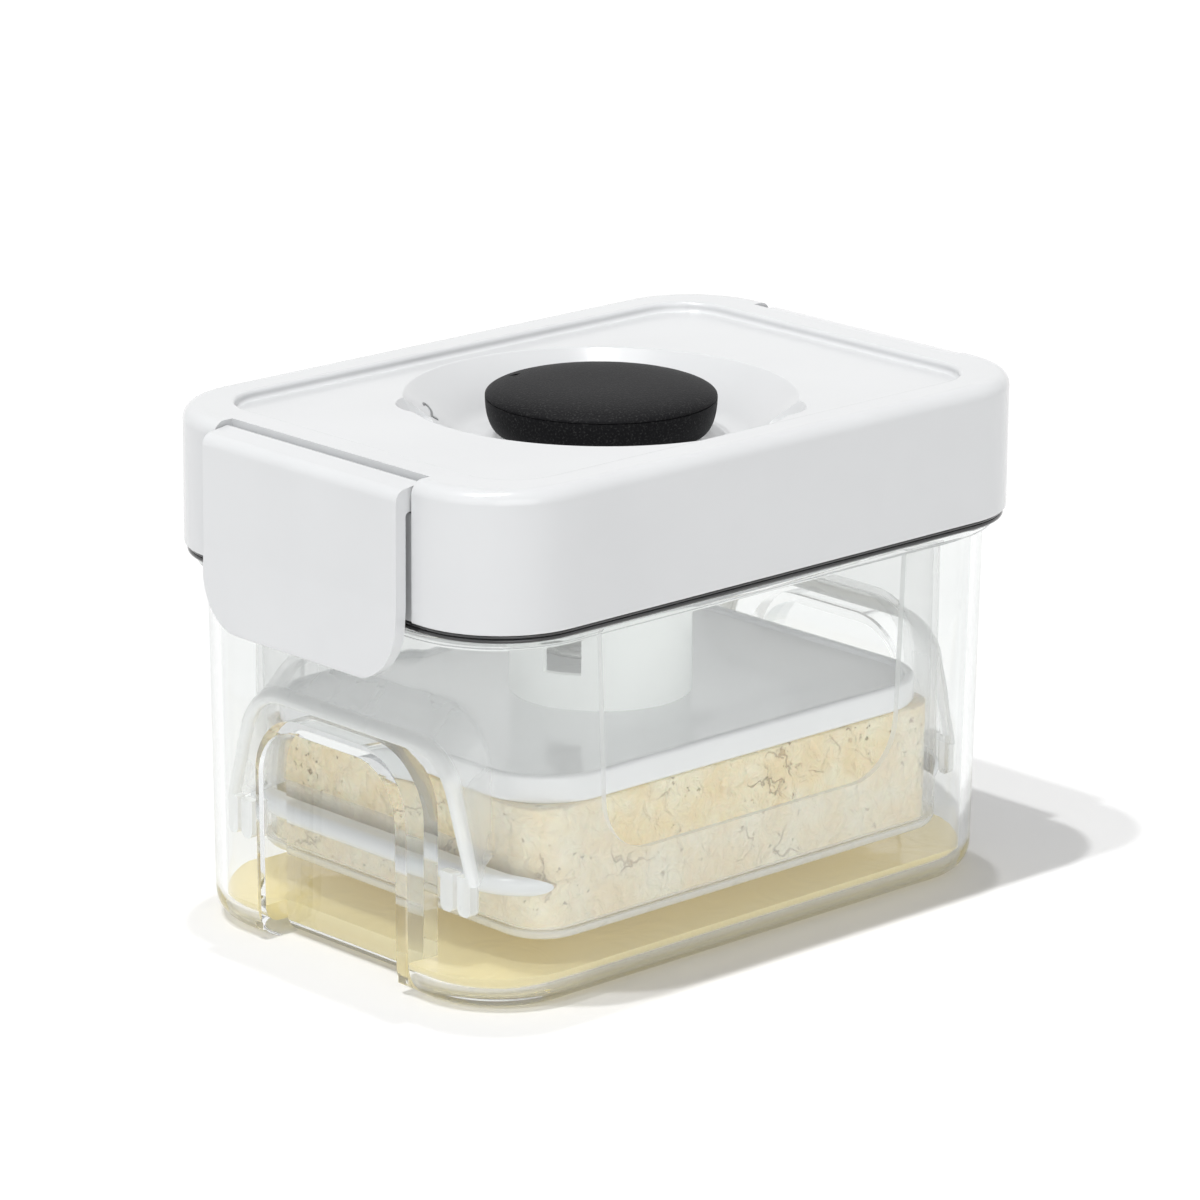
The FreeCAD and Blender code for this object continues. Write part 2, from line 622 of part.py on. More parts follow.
def round_lid_top(body):
    """Soften the well's rim and floor, the panel's foot and the lid's inner rim."""
    soften(body, "well_round", lambda box: (
        level(box, size("panel_top")) and abs(box.XMax - size("well_radius")) < 0.05
    ))
    soften(body, "well_floor_round", lambda box: (
        level(box, size("well_base")) and abs(box.XMax - size("well_floor_radius")) < 0.05
    ))
    soften(body, "panel_round", lambda box: (
        (level(box, size("panel_top")) or level(box, size("lid_top")))
        and box.DiagonalLength > size("panel_corner") and box.XMax > size("well_radius + well_round")
        or (level(box, size("panel_top")) or level(box, size("lid_top")))
        and box.XMin < size("0 - well_radius - well_round")
    ))


def cut_scoops(body):
    """The two marked scoops in the well's rim, one for each stage."""
    scoops = scoop_circles(body, "scoop_foot", "panel_top - scoop_depth")
    pocket(body, scoops, "scoop_depth", draft="scoop_draft", reverse=True)


def make_lid_shell():
    """Lid casing with its recessed panel, round well, two scoops, clip notches and screw bosses."""
    body = new_body("lid_shell")
    base = new_sketch(body, offset="skirt_base")
    rounded_rectangle(base, "lid_length", "lid_width", "lid_corner")
    pad(body, base, "lid_top - skirt_base")
    soften(body, "lid_edge_round", lambda box: level(box, size("lid_top")))
    sink_panel_and_well(body)
    round_lid_top(body)
    cut_scoops(body)
    bosses = new_sketch(body, offset="liner_top")
    for x, y in SCREW_SPOTS:
        circle(bosses, "boss_radius", x, y)
    pad(body, bosses, "panel_under - liner_top + sink")
    threads = new_sketch(body, offset="liner_top")
    for x, y in SCREW_SPOTS:
        circle(threads, "screw_radius", x, y)
    pocket(body, threads, "panel_under - screw_blind - liner_top", reverse=True)
    notch = new_sketch(body, "XZ_Plane")
    seat, low = "lid_length / 2 - clip_seat_depth", "skirt_base - beyond"
    far, high = "lid_length / 2 + beyond", "lid_top + beyond"
    outline(notch, [
        ("notch_face", "notch_floor"), (seat, "notch_floor"), (seat, low), (far, low), (far, high),
        ("notch_face", high),
    ])
    cut = pocket(body, notch, "notch_width", midplane=True)
    seats = new_sketch(body, "XZ_Plane")
    circle(seats, "pin_radius + seat_gap", "hinge_x", "hinge_z")
    drilled = pocket(body, seats, "notch_width + 2 * pin_bite", midplane=True)
    mirrored(body, [cut, drilled])
    return body


def make_lid_liner():
    """Inner cover: flat plate, plug ring in the tub's mouth, guide sleeve with three lugs."""
    body = new_body("lid_liner")
    plate = new_sketch(body, offset="liner_base")
    rounded_rectangle(
        plate, "lid_length - 2 * liner_inset", "lid_width - 2 * liner_inset", "lid_corner - liner_inset"
    )
    pad(body, plate, "liner_thick")
    plug = new_sketch(body, offset="liner_base - plug_depth")
    rounded_rectangle(plug, "plug_length", "plug_width", "plug_corner")
    pad(body, plug, "plug_depth + sink")
    hollow = new_sketch(body, offset="liner_base - plug_depth")
    rounded_rectangle(
        hollow, "plug_length - 2 * plug_wall", "plug_width - 2 * plug_wall", "plug_corner - plug_wall"
    )
    pocket(body, hollow, "plug_depth", reverse=True)
    ring(body, "guide_bore", "guide_rim", "liner_base", "collar_top")
    bore = new_sketch(body, offset="liner_base")
    circle(bore, "guide_bore")
    pocket(body, bore, "liner_thick + beyond", reverse=True)
    holes = new_sketch(body, offset="liner_base")
    heads = new_sketch(body, offset="liner_base")
    for x, y in SCREW_SPOTS:
        circle(holes, "screw_radius", x, y)
        circle(heads, "screw_head_radius + head_gap", x, y)
    pocket(body, holes, "liner_thick + beyond", reverse=True)
    pocket(body, heads, "liner_thick - screw_web", reverse=True)
    lug = new_sketch(body, "XZ_Plane")
    inner, outer = "sleeve_radius - lug_depth", "guide_bore + sink"
    outline(lug, [(inner, "lug_base"), (outer, "lug_base"), (outer, "lug_top"), (inner, "lug_top")])
    tooth = revolve(body, lug, angle="lug_span", midplane=True)
    polar(body, [tooth], 3)
    return body


def make_gasket():
    """Ring under the lid's skirt, with a lip that shows and a step under the liner."""
    body = new_body("lid_gasket")
    lip = new_sketch(body, offset="gasket_base")
    rounded_rectangle(
        lip, "lid_length - 2 * rim_inset", "lid_width - 2 * rim_inset", "lid_corner - rim_inset"
    )
    pad(body, lip, "gasket_lip")
    step = new_sketch(body, offset="gasket_base")
    rounded_rectangle(
        step, "lid_length - 2 * liner_inset", "lid_width - 2 * liner_inset", "lid_corner - liner_inset"
    )
    pad(body, step, "liner_base - gasket_rest - gasket_base")
    hollow = new_sketch(body, offset="gasket_base")
    rounded_rectangle(
        hollow, "plug_length + 2 * liner_gap", "plug_width + 2 * liner_gap", "plug_corner + liner_gap"
    )
    pocket(body, hollow, "liner_lift + beyond", reverse=True)
    return body


def make_screws(label, spots, seat, tip):
    """A group of identical screws whose heads bear upwards on a seat."""
    made = doc.addObject("Part::MultiFuse", label)
    made.Label = label
    rods = []
    for x, y in spots:
        for radius, low, high in (
            ("screw_head_radius", f"{seat} - seat_gap - screw_head", f"{seat} - seat_gap"),
            ("screw_radius - seat_gap", f"{seat} - seat_gap - sink", tip),
        ):
            rod = doc.addObject("Part::Cylinder", f"{label}_rod")
            bind(rod, "Radius", radius)
            bind(rod, "Height", f"({high}) - ({low})")
            bind(rod, "Placement.Base.x", x)
            bind(rod, "Placement.Base.y", y)
            bind(rod, "Placement.Base.z", low)
            rods.append(rod)
    made.Shapes = rods
    return made


# ---------------------------------------------------------------- clips and pins
def make_clip(label, side):
    """Snap clip: barrel on the pin, strip over the lid's edge, face plate and inner hook."""
    body = new_body(label)
    sign = "" if side > 0 else "0 - "

    def at(x, z):
        return (f"{sign}({x})", z)

    profile = new_sketch(body, "XZ_Plane")
    outline(profile, [
        at("hinge_x", "clip_crest"), at("clip_outer", "clip_crest - strip_fall"),
        at("clip_outer", "clip_bend"), at("clip_outer + clip_flare", "clip_base"),
        at("clip_inner + clip_flare", "clip_base"), at("clip_inner", "clip_bend"),
        at("clip_inner", "hinge_z - barrel_radius"), at("hinge_x", "hinge_z - barrel_radius"),
    ])
    pad(body, profile, "clip_width", midplane=True)
    soften(body, "clip_corner", lambda box: level(box, size("clip_base")) and box.YLength < 0.01)
    soften(body, "clip_crease", lambda box: (
        level(box, size("clip_crest - strip_fall")) and box.XLength < 0.01
    ))
    barrel = new_sketch(body, "XZ_Plane")
    circle(barrel, "barrel_radius", f"{sign}hinge_x", "hinge_z")
    pad(body, barrel, "clip_width", midplane=True)
    hook = new_sketch(body, "XZ_Plane")
    tip, root = "lid_length / 2 - rim_inset + hook_clear", "clip_inner + sink"
    top = "flange_base - hook_drop"
    outline(hook, [
        at(root, f"{top} - hook_height"), at(tip, f"{top} - hook_height + hook_lead"),
        at(tip, top), at(root, top),
    ])
    pad(body, hook, "hook_width", midplane=True)
    bore = new_sketch(body, "XZ_Plane")
    circle(bore, "pin_radius + running_fit", f"{sign}hinge_x", "hinge_z")
    pocket(body, bore, "clip_width + beyond", midplane=True)
    return body


def make_pin(label, side):
    """Hinge pin along Y."""
    made = doc.addObject("Part::Cylinder", label)
    made.Label = label
    bind(made, "Radius", "pin_radius")
    length = "notch_width + 2 * pin_bite - 2 * pin_end_gap"
    bind(made, "Height", length)
    made.Placement = FreeCAD.Placement(V(), FreeCAD.Rotation(V(1, 0, 0), -90))
    bind(made, "Placement.Base.x", "hinge_x" if side > 0 else "0 - hinge_x")
    bind(made, "Placement.Base.y", f"0 - ({length}) / 2")
    bind(made, "Placement.Base.z", "hinge_z")
    return made


# ---------------------------------------------------------------- knob and lock sleeve
def core_outline(gap):
    """Profile of the knob's core, drawn back by a gap from the hollow that holds it."""
    return [
        ("0", "knob_foot"), (f"knob_foot_radius - knob_skin - {gap}", "knob_foot"),
        (f"knob_belt_radius - knob_skin - {gap}", "knob_belt"),
        (f"knob_top_radius - knob_skin - {gap}", f"knob_shoulder - knob_skin - {gap}"),
        ("0", f"knob_shoulder - knob_skin - {gap}"),
    ]


def make_knob_grip():
    """Soft cap: bulging side with a lip round the sleeve, crowned top, hollow for the core."""
    body = new_body("knob_grip")
    side = new_sketch(body, "XZ_Plane")
    outline(side, [
        ("0", "knob_foot"), ("knob_lip_radius", "knob_foot"),
        ("knob_lip_radius", "knob_foot - knob_lip"), ("knob_foot_radius", "knob_foot - knob_lip"),
        ("knob_flank_radius", "knob_flank"), ("knob_belt_radius", "knob_belt"),
        ("knob_top_radius", "knob_shoulder"), ("0", "knob_crown"),
    ])
    revolve(body, side)
    soften(body, "knob_round", lambda box: any(
        level(box, size(name)) for name in ("knob_flank", "knob_belt", "knob_shoulder")
    ))
    hollow = new_sketch(body, "XZ_Plane")
    outline(hollow, core_outline("0"))
    revolve(body, hollow, cut=True)
    return body


def make_knob_core():
    """Hard disc that fills the cap, drilled for its four screws."""
    body = new_body("knob_core")
    disc = new_sketch(body, "XZ_Plane")
    outline(disc, core_outline("seat_gap"))
    revolve(body, disc)
    holes = new_sketch(body, offset="knob_foot")
    circle(holes, "pivot_screw_radius")
    for x, y in trio("sleeve_screw_circle"):
        circle(holes, "screw_radius", x, y)
    pocket(body, holes, "knob_screw_reach + screw_relief", reverse=True)
    return body


def trio(radius, start="60"):
    """Three places on a circle about the Z axis."""
    return [
        (f"{radius} * cos({start} + {turn})", f"{radius} * sin({start} + {turn})")
        for turn in (0, 120, 240)
    ]


def widened(span, gap, radius):
    """An angle opened by a gap on both sides, at a radius."""
    return f"{span} + 2 * {gap} * 180 / (pi * {radius})"


def make_lock_sleeve():
    """Tube under the knob: each track is an upright slot with a branch at stages 2, 1 and parked."""
    body = new_body("lock_sleeve")
    ring(body, "sleeve_radius - sleeve_wall", "sleeve_radius", "sleeve_base", "sleeve_top")
    ring(
        body, "pivot_radius + pivot_gap", "sleeve_radius - sleeve_wall / 2", "sleeve_under", "sleeve_top"
    )
    holes = new_sketch(body, offset="sleeve_under")
    for x, y in trio("sleeve_screw_circle"):
        circle(holes, "screw_radius + running_fit", x, y)
    pocket(body, holes, "sleeve_flange + beyond", reverse=True)
    span = widened("lug_span", "lug_clear", "sleeve_radius")
    column = track(body, "knob_travel", "0")
    cuts = [revolve(body, column, angle=span, cut=True, midplane=True)]
    for drop in ("0", "stage_travel", "knob_travel"):
        branch = track(body, drop, drop)
        cuts.append(revolve(body, branch, angle=f"lock_turn + ({span}) / 2", cut=True, reverse=True))
    polar(body, cuts, 3)
    return body


def track(body, lowest, highest):
    """Section of a track that a lug follows between two drops of the sleeve's face."""
    sketch = new_sketch(body, "XZ_Plane")
    near, far = "sleeve_radius - sleeve_wall - sink", "sleeve_radius + sink"
    low, high = f"lug_base - {lowest} - lug_clear", f"lug_top - {highest} + lug_clear"
    outline(sketch, [(near, low), (far, low), (far, high), (near, high)])
    return sketch


def make_spring_guide():
    """Cup that does not turn: cap, hollow post for the pivot screw, skirt with three keys."""
    body = new_body("spring_guide")
    inside = "guide_radius - guide_wall"
    ring(body, inside, "guide_radius", "guide_base", "guide_top")
    ring(body, "pivot_bore", f"{inside} + sink", "cap_under", "guide_top")
    ring(body, "pivot_bore", "pivot_radius", "cap_under", "knob_foot - pivot_play")
    key = new_sketch(body, "XZ_Plane", turn="key_angle")
    near, far = f"{inside} + sink", "tube_radius - key_inset"
    outline(key, [(near, "guide_base"), (far, "guide_base"), (far, "key_top"), (near, "key_top")])
    tooth = revolve(body, key, angle="key_span", midplane=True)
    polar(body, [tooth], 3)
    return body


# ---------------------------------------------------------------- plunger
def make_plunger_tube():
    """Tube with three guide slots for the keys, and a groove that snaps on the plate's stub."""
    body = new_body("plunger_tube")
    ring(body, "tube_bore", "tube_radius", "plate_floor + seat_gap", "tube_top")
    slot = new_sketch(body, "XZ_Plane", turn="key_angle")
    near, far, high = "tube_bore - sink", "tube_radius + sink", "key_top + key_clear"
    outline(slot, [(near, "slot_base"), (far, "slot_base"), (far, high), (near, high)])
    cut = revolve(
        body, slot, angle=widened("key_span", "key_clear", "tube_radius"), cut=True, midplane=True
    )
    polar(body, [cut], 3)
    groove = new_sketch(body, "XZ_Plane")
    low, top = "bead_base - bead_gap", "bead_base + bead_height + bead_gap"
    deep = "tube_bore + bead_reach + bead_gap"
    outline(groove, [(near, low), (deep, low), (deep, top), (near, top)])
    revolve(body, groove, cut=True)
    return body


def make_press_plate():
    """Plate with a raised edge and the beaded stub that holds the tube."""
    body = new_body("press_plate")
    base = new_sketch(body, offset="plate_base")
    rounded_rectangle(base, "plate_length", "plate_width", "plate_corner")
    pad(body, base, "plate_thick")
    soften(body, "plate_round", lambda box: level(box, size("plate_base")))
    top = new_sketch(body, offset="plate_floor")
    rounded_rectangle(
        top, "plate_length - 2 * plate_rim", "plate_width - 2 * plate_rim", "plate_corner - plate_rim"
    )
    pocket(body, top, "plate_rim_height + beyond", reverse=True)
    ring(
        body, "stub_radius - stub_wall", "stub_radius", "plate_floor - sink", "plate_floor + stub_height"
    )
    ring(body, "stub_radius - sink", "tube_bore + bead_reach", "bead_base", "bead_base + bead_height")
    return body


def make_spring():
    """Compression spring between the plate and the guide's cap, as half turns tilted to meet."""
    made = doc.addObject("Part::Feature", "press_spring")
    made.Label = "press_spring"
    wire = size("spring_wire")
    low, high = size("plate_floor + running_fit") + wire, size("cap_under - running_fit") - wire
    halves = round(2 * size("spring_turns"))
    rise = (high - low) / halves
    radius = math.hypot(size("spring_radius"), rise / 2)
    tilt = math.degrees(math.asin(rise / 2 / radius))
    turns = []
    for step in range(halves):
        half = Part.makeTorus(radius, wire, V(), V(0, 0, 1), 0, 360, 180)
        half.rotate(V(), V(0, 1, 0), tilt)
        half.rotate(V(), V(0, 0, 1), 180 * (step % 2))
        half.translate(V(0, 0, low + (step + 0.5) * rise))
        turns.append(half)
    made.Shape = turns[0].multiFuse(turns[1:])
    return made


def make_turned(label, points):
    """A small turned piece."""
    body = new_body(label)
    sketch = new_sketch(body, "XZ_Plane")
    outline(sketch, points)
    revolve(body, sketch)
    return body


def make_small_parts():
    """Seal, washer, screws and pins."""
    wiper, rim, seal_top = "sleeve_radius + seal_wipe", "guide_rim", "seal_base + seal_height"
    washer_top = "washer_base + washer_thick"
    head_top = "washer_base - seat_gap"
    head_base = f"{head_top} - pivot_head"
    shank = "pivot_screw_radius - seat_gap"
    return [
        make_turned("sleeve_seal", [
            (wiper, "seal_base"), (rim, "seal_base"), (rim, seal_top), (wiper, seal_top),
        ]),
        make_turned("pivot_washer", [
            ("pivot_bore", "washer_base"), ("washer_radius", "washer_base"),
            ("washer_radius", washer_top), ("pivot_bore", washer_top),
        ]),
        make_turned("pivot_screw", [
            ("0", head_base), ("pivot_head_radius", head_base), ("pivot_head_radius", head_top),
            (shank, head_top), (shank, "knob_screw_top"), ("0", "knob_screw_top"),
        ]),
        make_screws("liner_screws", SCREW_SPOTS, "screw_seat", "screw_top"),
        make_screws("sleeve_screws", trio("sleeve_screw_circle"), "sleeve_under", "knob_screw_top"),
        make_pin("hinge_pin_left", -1),
        make_pin("hinge_pin_right", 1),
    ]


# ---------------------------------------------------------------- build and write
def check(pieces):
    """Stop if any object failed or any piece is not a valid solid."""
    for item in doc.Objects:
        if "Invalid" in item.State or "Error" in item.State:
            raise ValueError(f"{item.Name} failed: {item.State}")
    for piece in pieces:
        shape = piece.Shape
        if shape.isNull() or not shape.isValid() or not shape.Solids:
            raise ValueError(f"{piece.Label} has no valid shape")


fill_sheet()
PIECES = [
    make_container(), make_basket(), make_lid_shell(), make_lid_liner(), make_gasket(),
    make_clip("clip_left", -1), make_clip("clip_right", 1), make_knob_grip(), make_knob_core(),
    make_lock_sleeve(), make_spring_guide(), make_plunger_tube(), make_press_plate(), make_spring(),
] + make_small_parts()
doc.recompute()
check(PIECES)

os.makedirs("parts", exist_ok=True)
for piece in PIECES:
    piece.Shape.exportStep(f"parts/{piece.Label}.step")
    box = piece.Shape.BoundBox
    print(
        f"{piece.Label:16} solids {len(piece.Shape.Solids)}  volume {piece.Shape.Volume:10.1f}  "
        f"x {box.XMin:7.2f} {box.XMax:7.2f}  y {box.YMin:7.2f} {box.YMax:7.2f}  "
        f"z {box.ZMin:7.2f} {box.ZMax:7.2f}"
    )
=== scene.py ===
"""Dresses the tofu press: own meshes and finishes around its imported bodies."""

from __future__ import annotations

import logging
import math
from collections.abc import Callable
from dataclasses import dataclass
from enum import Enum
from typing import Protocol

import bmesh
import bpy
from mathutils import Matrix, Vector, noise


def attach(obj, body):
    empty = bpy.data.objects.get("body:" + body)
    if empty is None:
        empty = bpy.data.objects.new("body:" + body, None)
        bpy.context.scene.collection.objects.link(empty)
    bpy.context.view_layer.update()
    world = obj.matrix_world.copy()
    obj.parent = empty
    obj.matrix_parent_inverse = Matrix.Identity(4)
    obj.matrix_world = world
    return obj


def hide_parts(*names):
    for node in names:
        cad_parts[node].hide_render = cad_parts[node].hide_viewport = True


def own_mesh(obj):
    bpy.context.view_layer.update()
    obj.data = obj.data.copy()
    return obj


LOG = logging.getLogger("tofu_press")
MM = 0.001

Colour = tuple[float, float, float]
Point = tuple[float, float, float]
Ring = list[Point]
Profile = list[tuple[float, float]]

WHITE: Colour = (1.0, 1.0, 1.0)
BEYOND = 5.0  # how far a cutter runs past what it cuts

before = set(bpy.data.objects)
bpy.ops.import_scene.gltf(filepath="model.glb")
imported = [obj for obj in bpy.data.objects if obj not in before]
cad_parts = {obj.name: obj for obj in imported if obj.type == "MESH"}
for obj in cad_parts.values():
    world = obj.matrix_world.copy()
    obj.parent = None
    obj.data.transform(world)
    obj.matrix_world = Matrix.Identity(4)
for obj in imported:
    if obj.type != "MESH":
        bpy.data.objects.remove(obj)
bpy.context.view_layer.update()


class Body(str, Enum):
    """The bodies that pieces ride on."""

    CONTAINER = "container"
    BASKET = "basket"
    LID = "lid"
    CLIP_LEFT = "clip_left"
    CLIP_RIGHT = "clip_right"
    CARRIER = "carrier"
    KNOB = "knob"
    PLATE = "plate"


class Slot(str, Enum):
    """The record's material slots."""

    CLEAR = "clear_plastic"
    FROSTED = "frosted_plastic"
    WHITE = "white_plastic"
    GRIP = "black_grip"
    BLACK = "black_plastic"
    SEAL = "seal_rubber"
    STEEL = "steel"


class Cut(str, Enum):
    """What a boolean does with its second solid."""

    AWAY = "DIFFERENCE"
    JOIN = "UNION"


# ---- node trees
class Graph:
    """A node tree with one method for making any node."""

    def __init__(self, tree: bpy.types.NodeTree) -> None:
        """Start on an empty tree."""
        self.tree = tree
        tree.nodes.clear()

    def node(self, kind: str, inputs: dict | None = None, **settings: object) -> bpy.types.Node:
        """Make a node, set it up, then fill or link its inputs.

        Args:
            kind: the node's type name.
            inputs: values, sockets or signals by input name or index.
            settings: attributes set before the inputs.

        Returns:
            The new node.
        """
        made = self.tree.nodes.new(kind)
        for name, value in settings.items():
            setattr(made, name, value)
        for name, value in (inputs or {}).items():
            socket = made.inputs[name]
            if isinstance(value, Signal):
                value = value.socket
            if isinstance(value, bpy.types.NodeSocket):
                self.tree.links.new(value, socket)
            else:
                socket.default_value = value
        return made

    def signal(self, kind: str, inputs: dict | None = None, output: int | str = 0,
               **settings: object) -> Signal:
        """Make a node and return one of its outputs as a signal."""
        return Signal(self, self.node(kind, inputs, **settings).outputs[output])

    def rays(self, *kinds: str) -> Signal:
        """1 for rays of any of the named kinds."""
        path = self.node("ShaderNodeLightPath")
        found = Signal(self, path.outputs[f"Is {kinds[0]} Ray"])
        for kind in kinds[1:]:
            found = found | Signal(self, path.outputs[f"Is {kind} Ray"])
        return found


def math_operator(operation: str, swapped: bool = False
                  ) -> Callable[[Signal, Signal | float], Signal]:
    """A method that adds one Math node.

    Args:
        operation: what the node does.
        swapped: take the other value first, for a reflected operator.

    Returns:
        The method.
    """
    def apply(self: Signal, other: Signal | float) -> Signal:
        """Both values, put through the node."""
        first, second = (other, self) if swapped else (self, other)
        return self.graph.signal("ShaderNodeMath", {0: first, 1: second}, operation=operation)

    return apply


class Signal:
    """A number in a node tree; arithmetic on it adds Math nodes, and | is the larger of two."""

    def __init__(self, graph: Graph, socket: bpy.types.NodeSocket) -> None:
        """Wrap one output socket."""
        self.graph = graph
        self.socket = socket

    __add__, __radd__ = math_operator("ADD"), math_operator("ADD", swapped=True)
    __sub__, __rsub__ = math_operator("SUBTRACT"), math_operator("SUBTRACT", swapped=True)
    __mul__, __rmul__ = math_operator("MULTIPLY"), math_operator("MULTIPLY", swapped=True)
    __or__, __ror__ = math_operator("MAXIMUM"), math_operator("MAXIMUM", swapped=True)

    def step(self, low: float, high: float) -> Signal:
        """Smooth step from 0 at low to 1 at high."""
        return self.graph.signal("ShaderNodeMapRange", {
            "Value": self, "From Min": low, "From Max": high,
        }, interpolation_type="SMOOTHSTEP")


class Paint(Graph):
    """A material's node tree around one Principled shader."""

    def __init__(self, name: str, **constants: float | tuple) -> None:
        """Start a material; constants go straight on the shader's sockets by name."""
        self.material = bpy.data.materials.new(name)
        self.material.use_nodes = True
        super().__init__(self.material.node_tree)
        self.place = self.node("ShaderNodeTexCoord").outputs["Object"]
        self.shader = self.node("ShaderNodeBsdfPrincipled")
        for socket, value in constants.items():
            self.shader.inputs[socket.replace("_", " ")].default_value = value

    def noise(self, scale: float, detail: float = 3.0, distortion: float = 0.0) -> Signal:
        """Noise over the piece; scale is in cells per metre."""
        return self.signal("ShaderNodeTexNoise", {
            "Vector": self.place, "Scale": scale, "Detail": detail, "Distortion": distortion,
        })

    def cells(self, scale: float, ragged: float = 0.0) -> Signal:
        """Distance from the nearest of scattered points.

        Args:
            scale: cells per metre.
            ragged: how far the pattern is pushed about, in metres.

        Returns:
            The distance, in cells.
        """
        swirl = self.node("ShaderNodeTexNoise", {
            "Vector": self.place, "Scale": 2.6 * scale, "Detail": 4.0,
        })
        pushed = self.node("ShaderNodeVectorMath", {
            0: swirl.outputs["Color"], 1: (ragged, ragged, ragged), 2: self.place,
        }, operation="MULTIPLY_ADD")
        return self.signal("ShaderNodeTexVoronoi", {
            "Vector": pushed.outputs[0], "Scale": scale,
        })

    def blend(self, amount: Signal, first: Colour | bpy.types.NodeSocket, second: Colour
              ) -> bpy.types.NodeSocket:
        """A colour between two."""
        start = (*first, 1.0) if isinstance(first, tuple) else first
        return self.node("ShaderNodeMix", {
            0: amount, 6: start, 7: (*second, 1.0),
        }, data_type="RGBA").outputs[2]

    def bump(self, height: Signal, distance: float, strength: float = 1.0) -> None:
        """Feed a height to the shader's normal."""
        self.link("Normal", self.node("ShaderNodeBump", {
            "Height": height, "Distance": distance, "Strength": strength,
        }).outputs[0])

    def link(self, socket: str, value: Signal | bpy.types.NodeSocket) -> None:
        """Link a value to one of the shader's sockets."""
        source = value.socket if isinstance(value, Signal) else value
        self.tree.links.new(source, self.shader.inputs[socket])

    def parts(self, vector: bpy.types.NodeSocket) -> tuple[Signal, Signal, Signal]:
        """The three numbers of a vector."""
        split = self.node("ShaderNodeSeparateXYZ", {"Vector": vector}).outputs
        return tuple(Signal(self, output) for output in split)

    def late(self, bounces: float) -> Signal:
        """1 for rays that have bounced more often than this."""
        depth = Signal(self, self.node("ShaderNodeLightPath").outputs["Ray Depth"])
        return depth.step(bounces, bounces + 1.0)

    def close(self, passing: Signal | None = None, tint: Colour = WHITE) -> bpy.types.Material:
        """Send the shader to the output.

        Args:
            passing: the share of each ray that goes straight through, if any does.
            tint: the colour of what goes through.

        Returns:
            The material.
        """
        surface = self.shader.outputs[0]
        if passing is not None:
            through = self.node("ShaderNodeBsdfTransparent", {"Color": (*tint, 1.0)})
            surface = self.node("ShaderNodeMixShader", {
                0: passing, 1: surface, 2: through.outputs[0],
            }).outputs[0]
        self.node("ShaderNodeOutputMaterial", {"Surface": surface})
        return self.material


# ---- finishes; scales are in cells per metre, depths in metres
class Finish(Protocol):
    """Anything that can build a material."""

    name: str

    def material(self) -> bpy.types.Material:
        """Build the finish."""


@dataclass(frozen=True)
class Moulded:
    """Opaque moulded plastic or rubber with fine grain and an uneven sheen; its glow is painted
    light.
    """

    name: str
    colour: Colour
    shade: Colour
    roughness: float
    spread: float = 0.08
    grain: float = 900.0
    depth: float = 0.00001
    cloud: float = 28.0
    coat: float = 0.0
    # painted light: how strongly the piece gives off light of its own colour, though it is no lamp
    glow: float = 0.0

    def material(self) -> bpy.types.Material:
        """Build the finish."""
        paint = Paint(
            self.name, Coat_Weight=self.coat, Coat_Roughness=0.08,
            Emission_Color=(*self.colour, 1.0), Emission_Strength=self.glow,
        )
        cloud = paint.noise(self.cloud)
        paint.link("Base Color", paint.blend(cloud.step(0.3, 0.7), self.colour, self.shade))
        fine = paint.noise(self.grain, 2.0)
        sheen = self.roughness + (fine - 0.5) * self.spread + (cloud - 0.5) * 0.05
        paint.link("Roughness", sheen)
        paint.bump(fine, self.depth)
        return paint.close()


@dataclass(frozen=True)
class SoftTouch:
    """Black soft-touch skin with grain and scattered pale specks."""

    name: str
    colour: Colour
    speck: Colour
    roughness: float
    spread: float = 0.3
    grain: float = 2200.0
    depth: float = 0.00011

    def material(self) -> bpy.types.Material:
        """Build the finish."""
        paint = Paint(self.name, Specular_IOR_Level=0.05)
        grain = paint.noise(self.grain, 2.0)
        speck = grain.step(0.5, 0.78)
        paint.link("Base Color", paint.blend(speck, self.colour, self.speck))
        paint.link("Roughness", self.roughness + (grain - 0.5) * self.spread)
        paint.bump(grain, self.depth, 0.8)
        return paint.close()


@dataclass(frozen=True)
class Clear:
    """Clear moulded plastic that lets lamp light straight through to what it holds."""

    name: str
    tint: Colour
    ior: float = 1.49
    roughness: float = 0.015
    shade: Colour = (0.97, 0.975, 0.975)
    edge_shade: Colour = (0.70, 0.72, 0.72)
    base_top: float = 0.005
    base_dim: float = 0.62
    bounces: float = 4.0
    haze: float = 45.0
    haze_spread: float = 0.02
    ripple: float = 22.0
    ripple_depth: float = 0.00012

    def material(self) -> bpy.types.Material:
        """Build the finish."""
        paint = Paint(
            self.name, Base_Color=(*self.tint, 1.0), Transmission_Weight=1.0, IOR=self.ior,
        )
        haze = paint.noise(self.haze, 4.0)
        facing = paint.signal("ShaderNodeLayerWeight", {"Blend": 0.5}, "Facing")
        # Painted shade: the base colour darkens toward grazing angles, so the walls' edges look
        # darker.
        paint.link("Base Color", paint.blend(facing.step(0.45, 1.0), self.tint, self.edge_shade))
        _, _, height = paint.parts(paint.place)
        lit = 1 - (1 - height.step(self.base_top, self.base_top + 0.002)) * self.base_dim
        paint.link("Roughness", haze.step(0.35, 0.75) * self.haze_spread + self.roughness)
        paint.bump(paint.noise(self.ripple, 1.0), self.ripple_depth, 0.35)
        passing = paint.rays("Shadow") * lit | paint.rays("Diffuse") | paint.late(self.bounces)
        return paint.close(passing, self.shade)


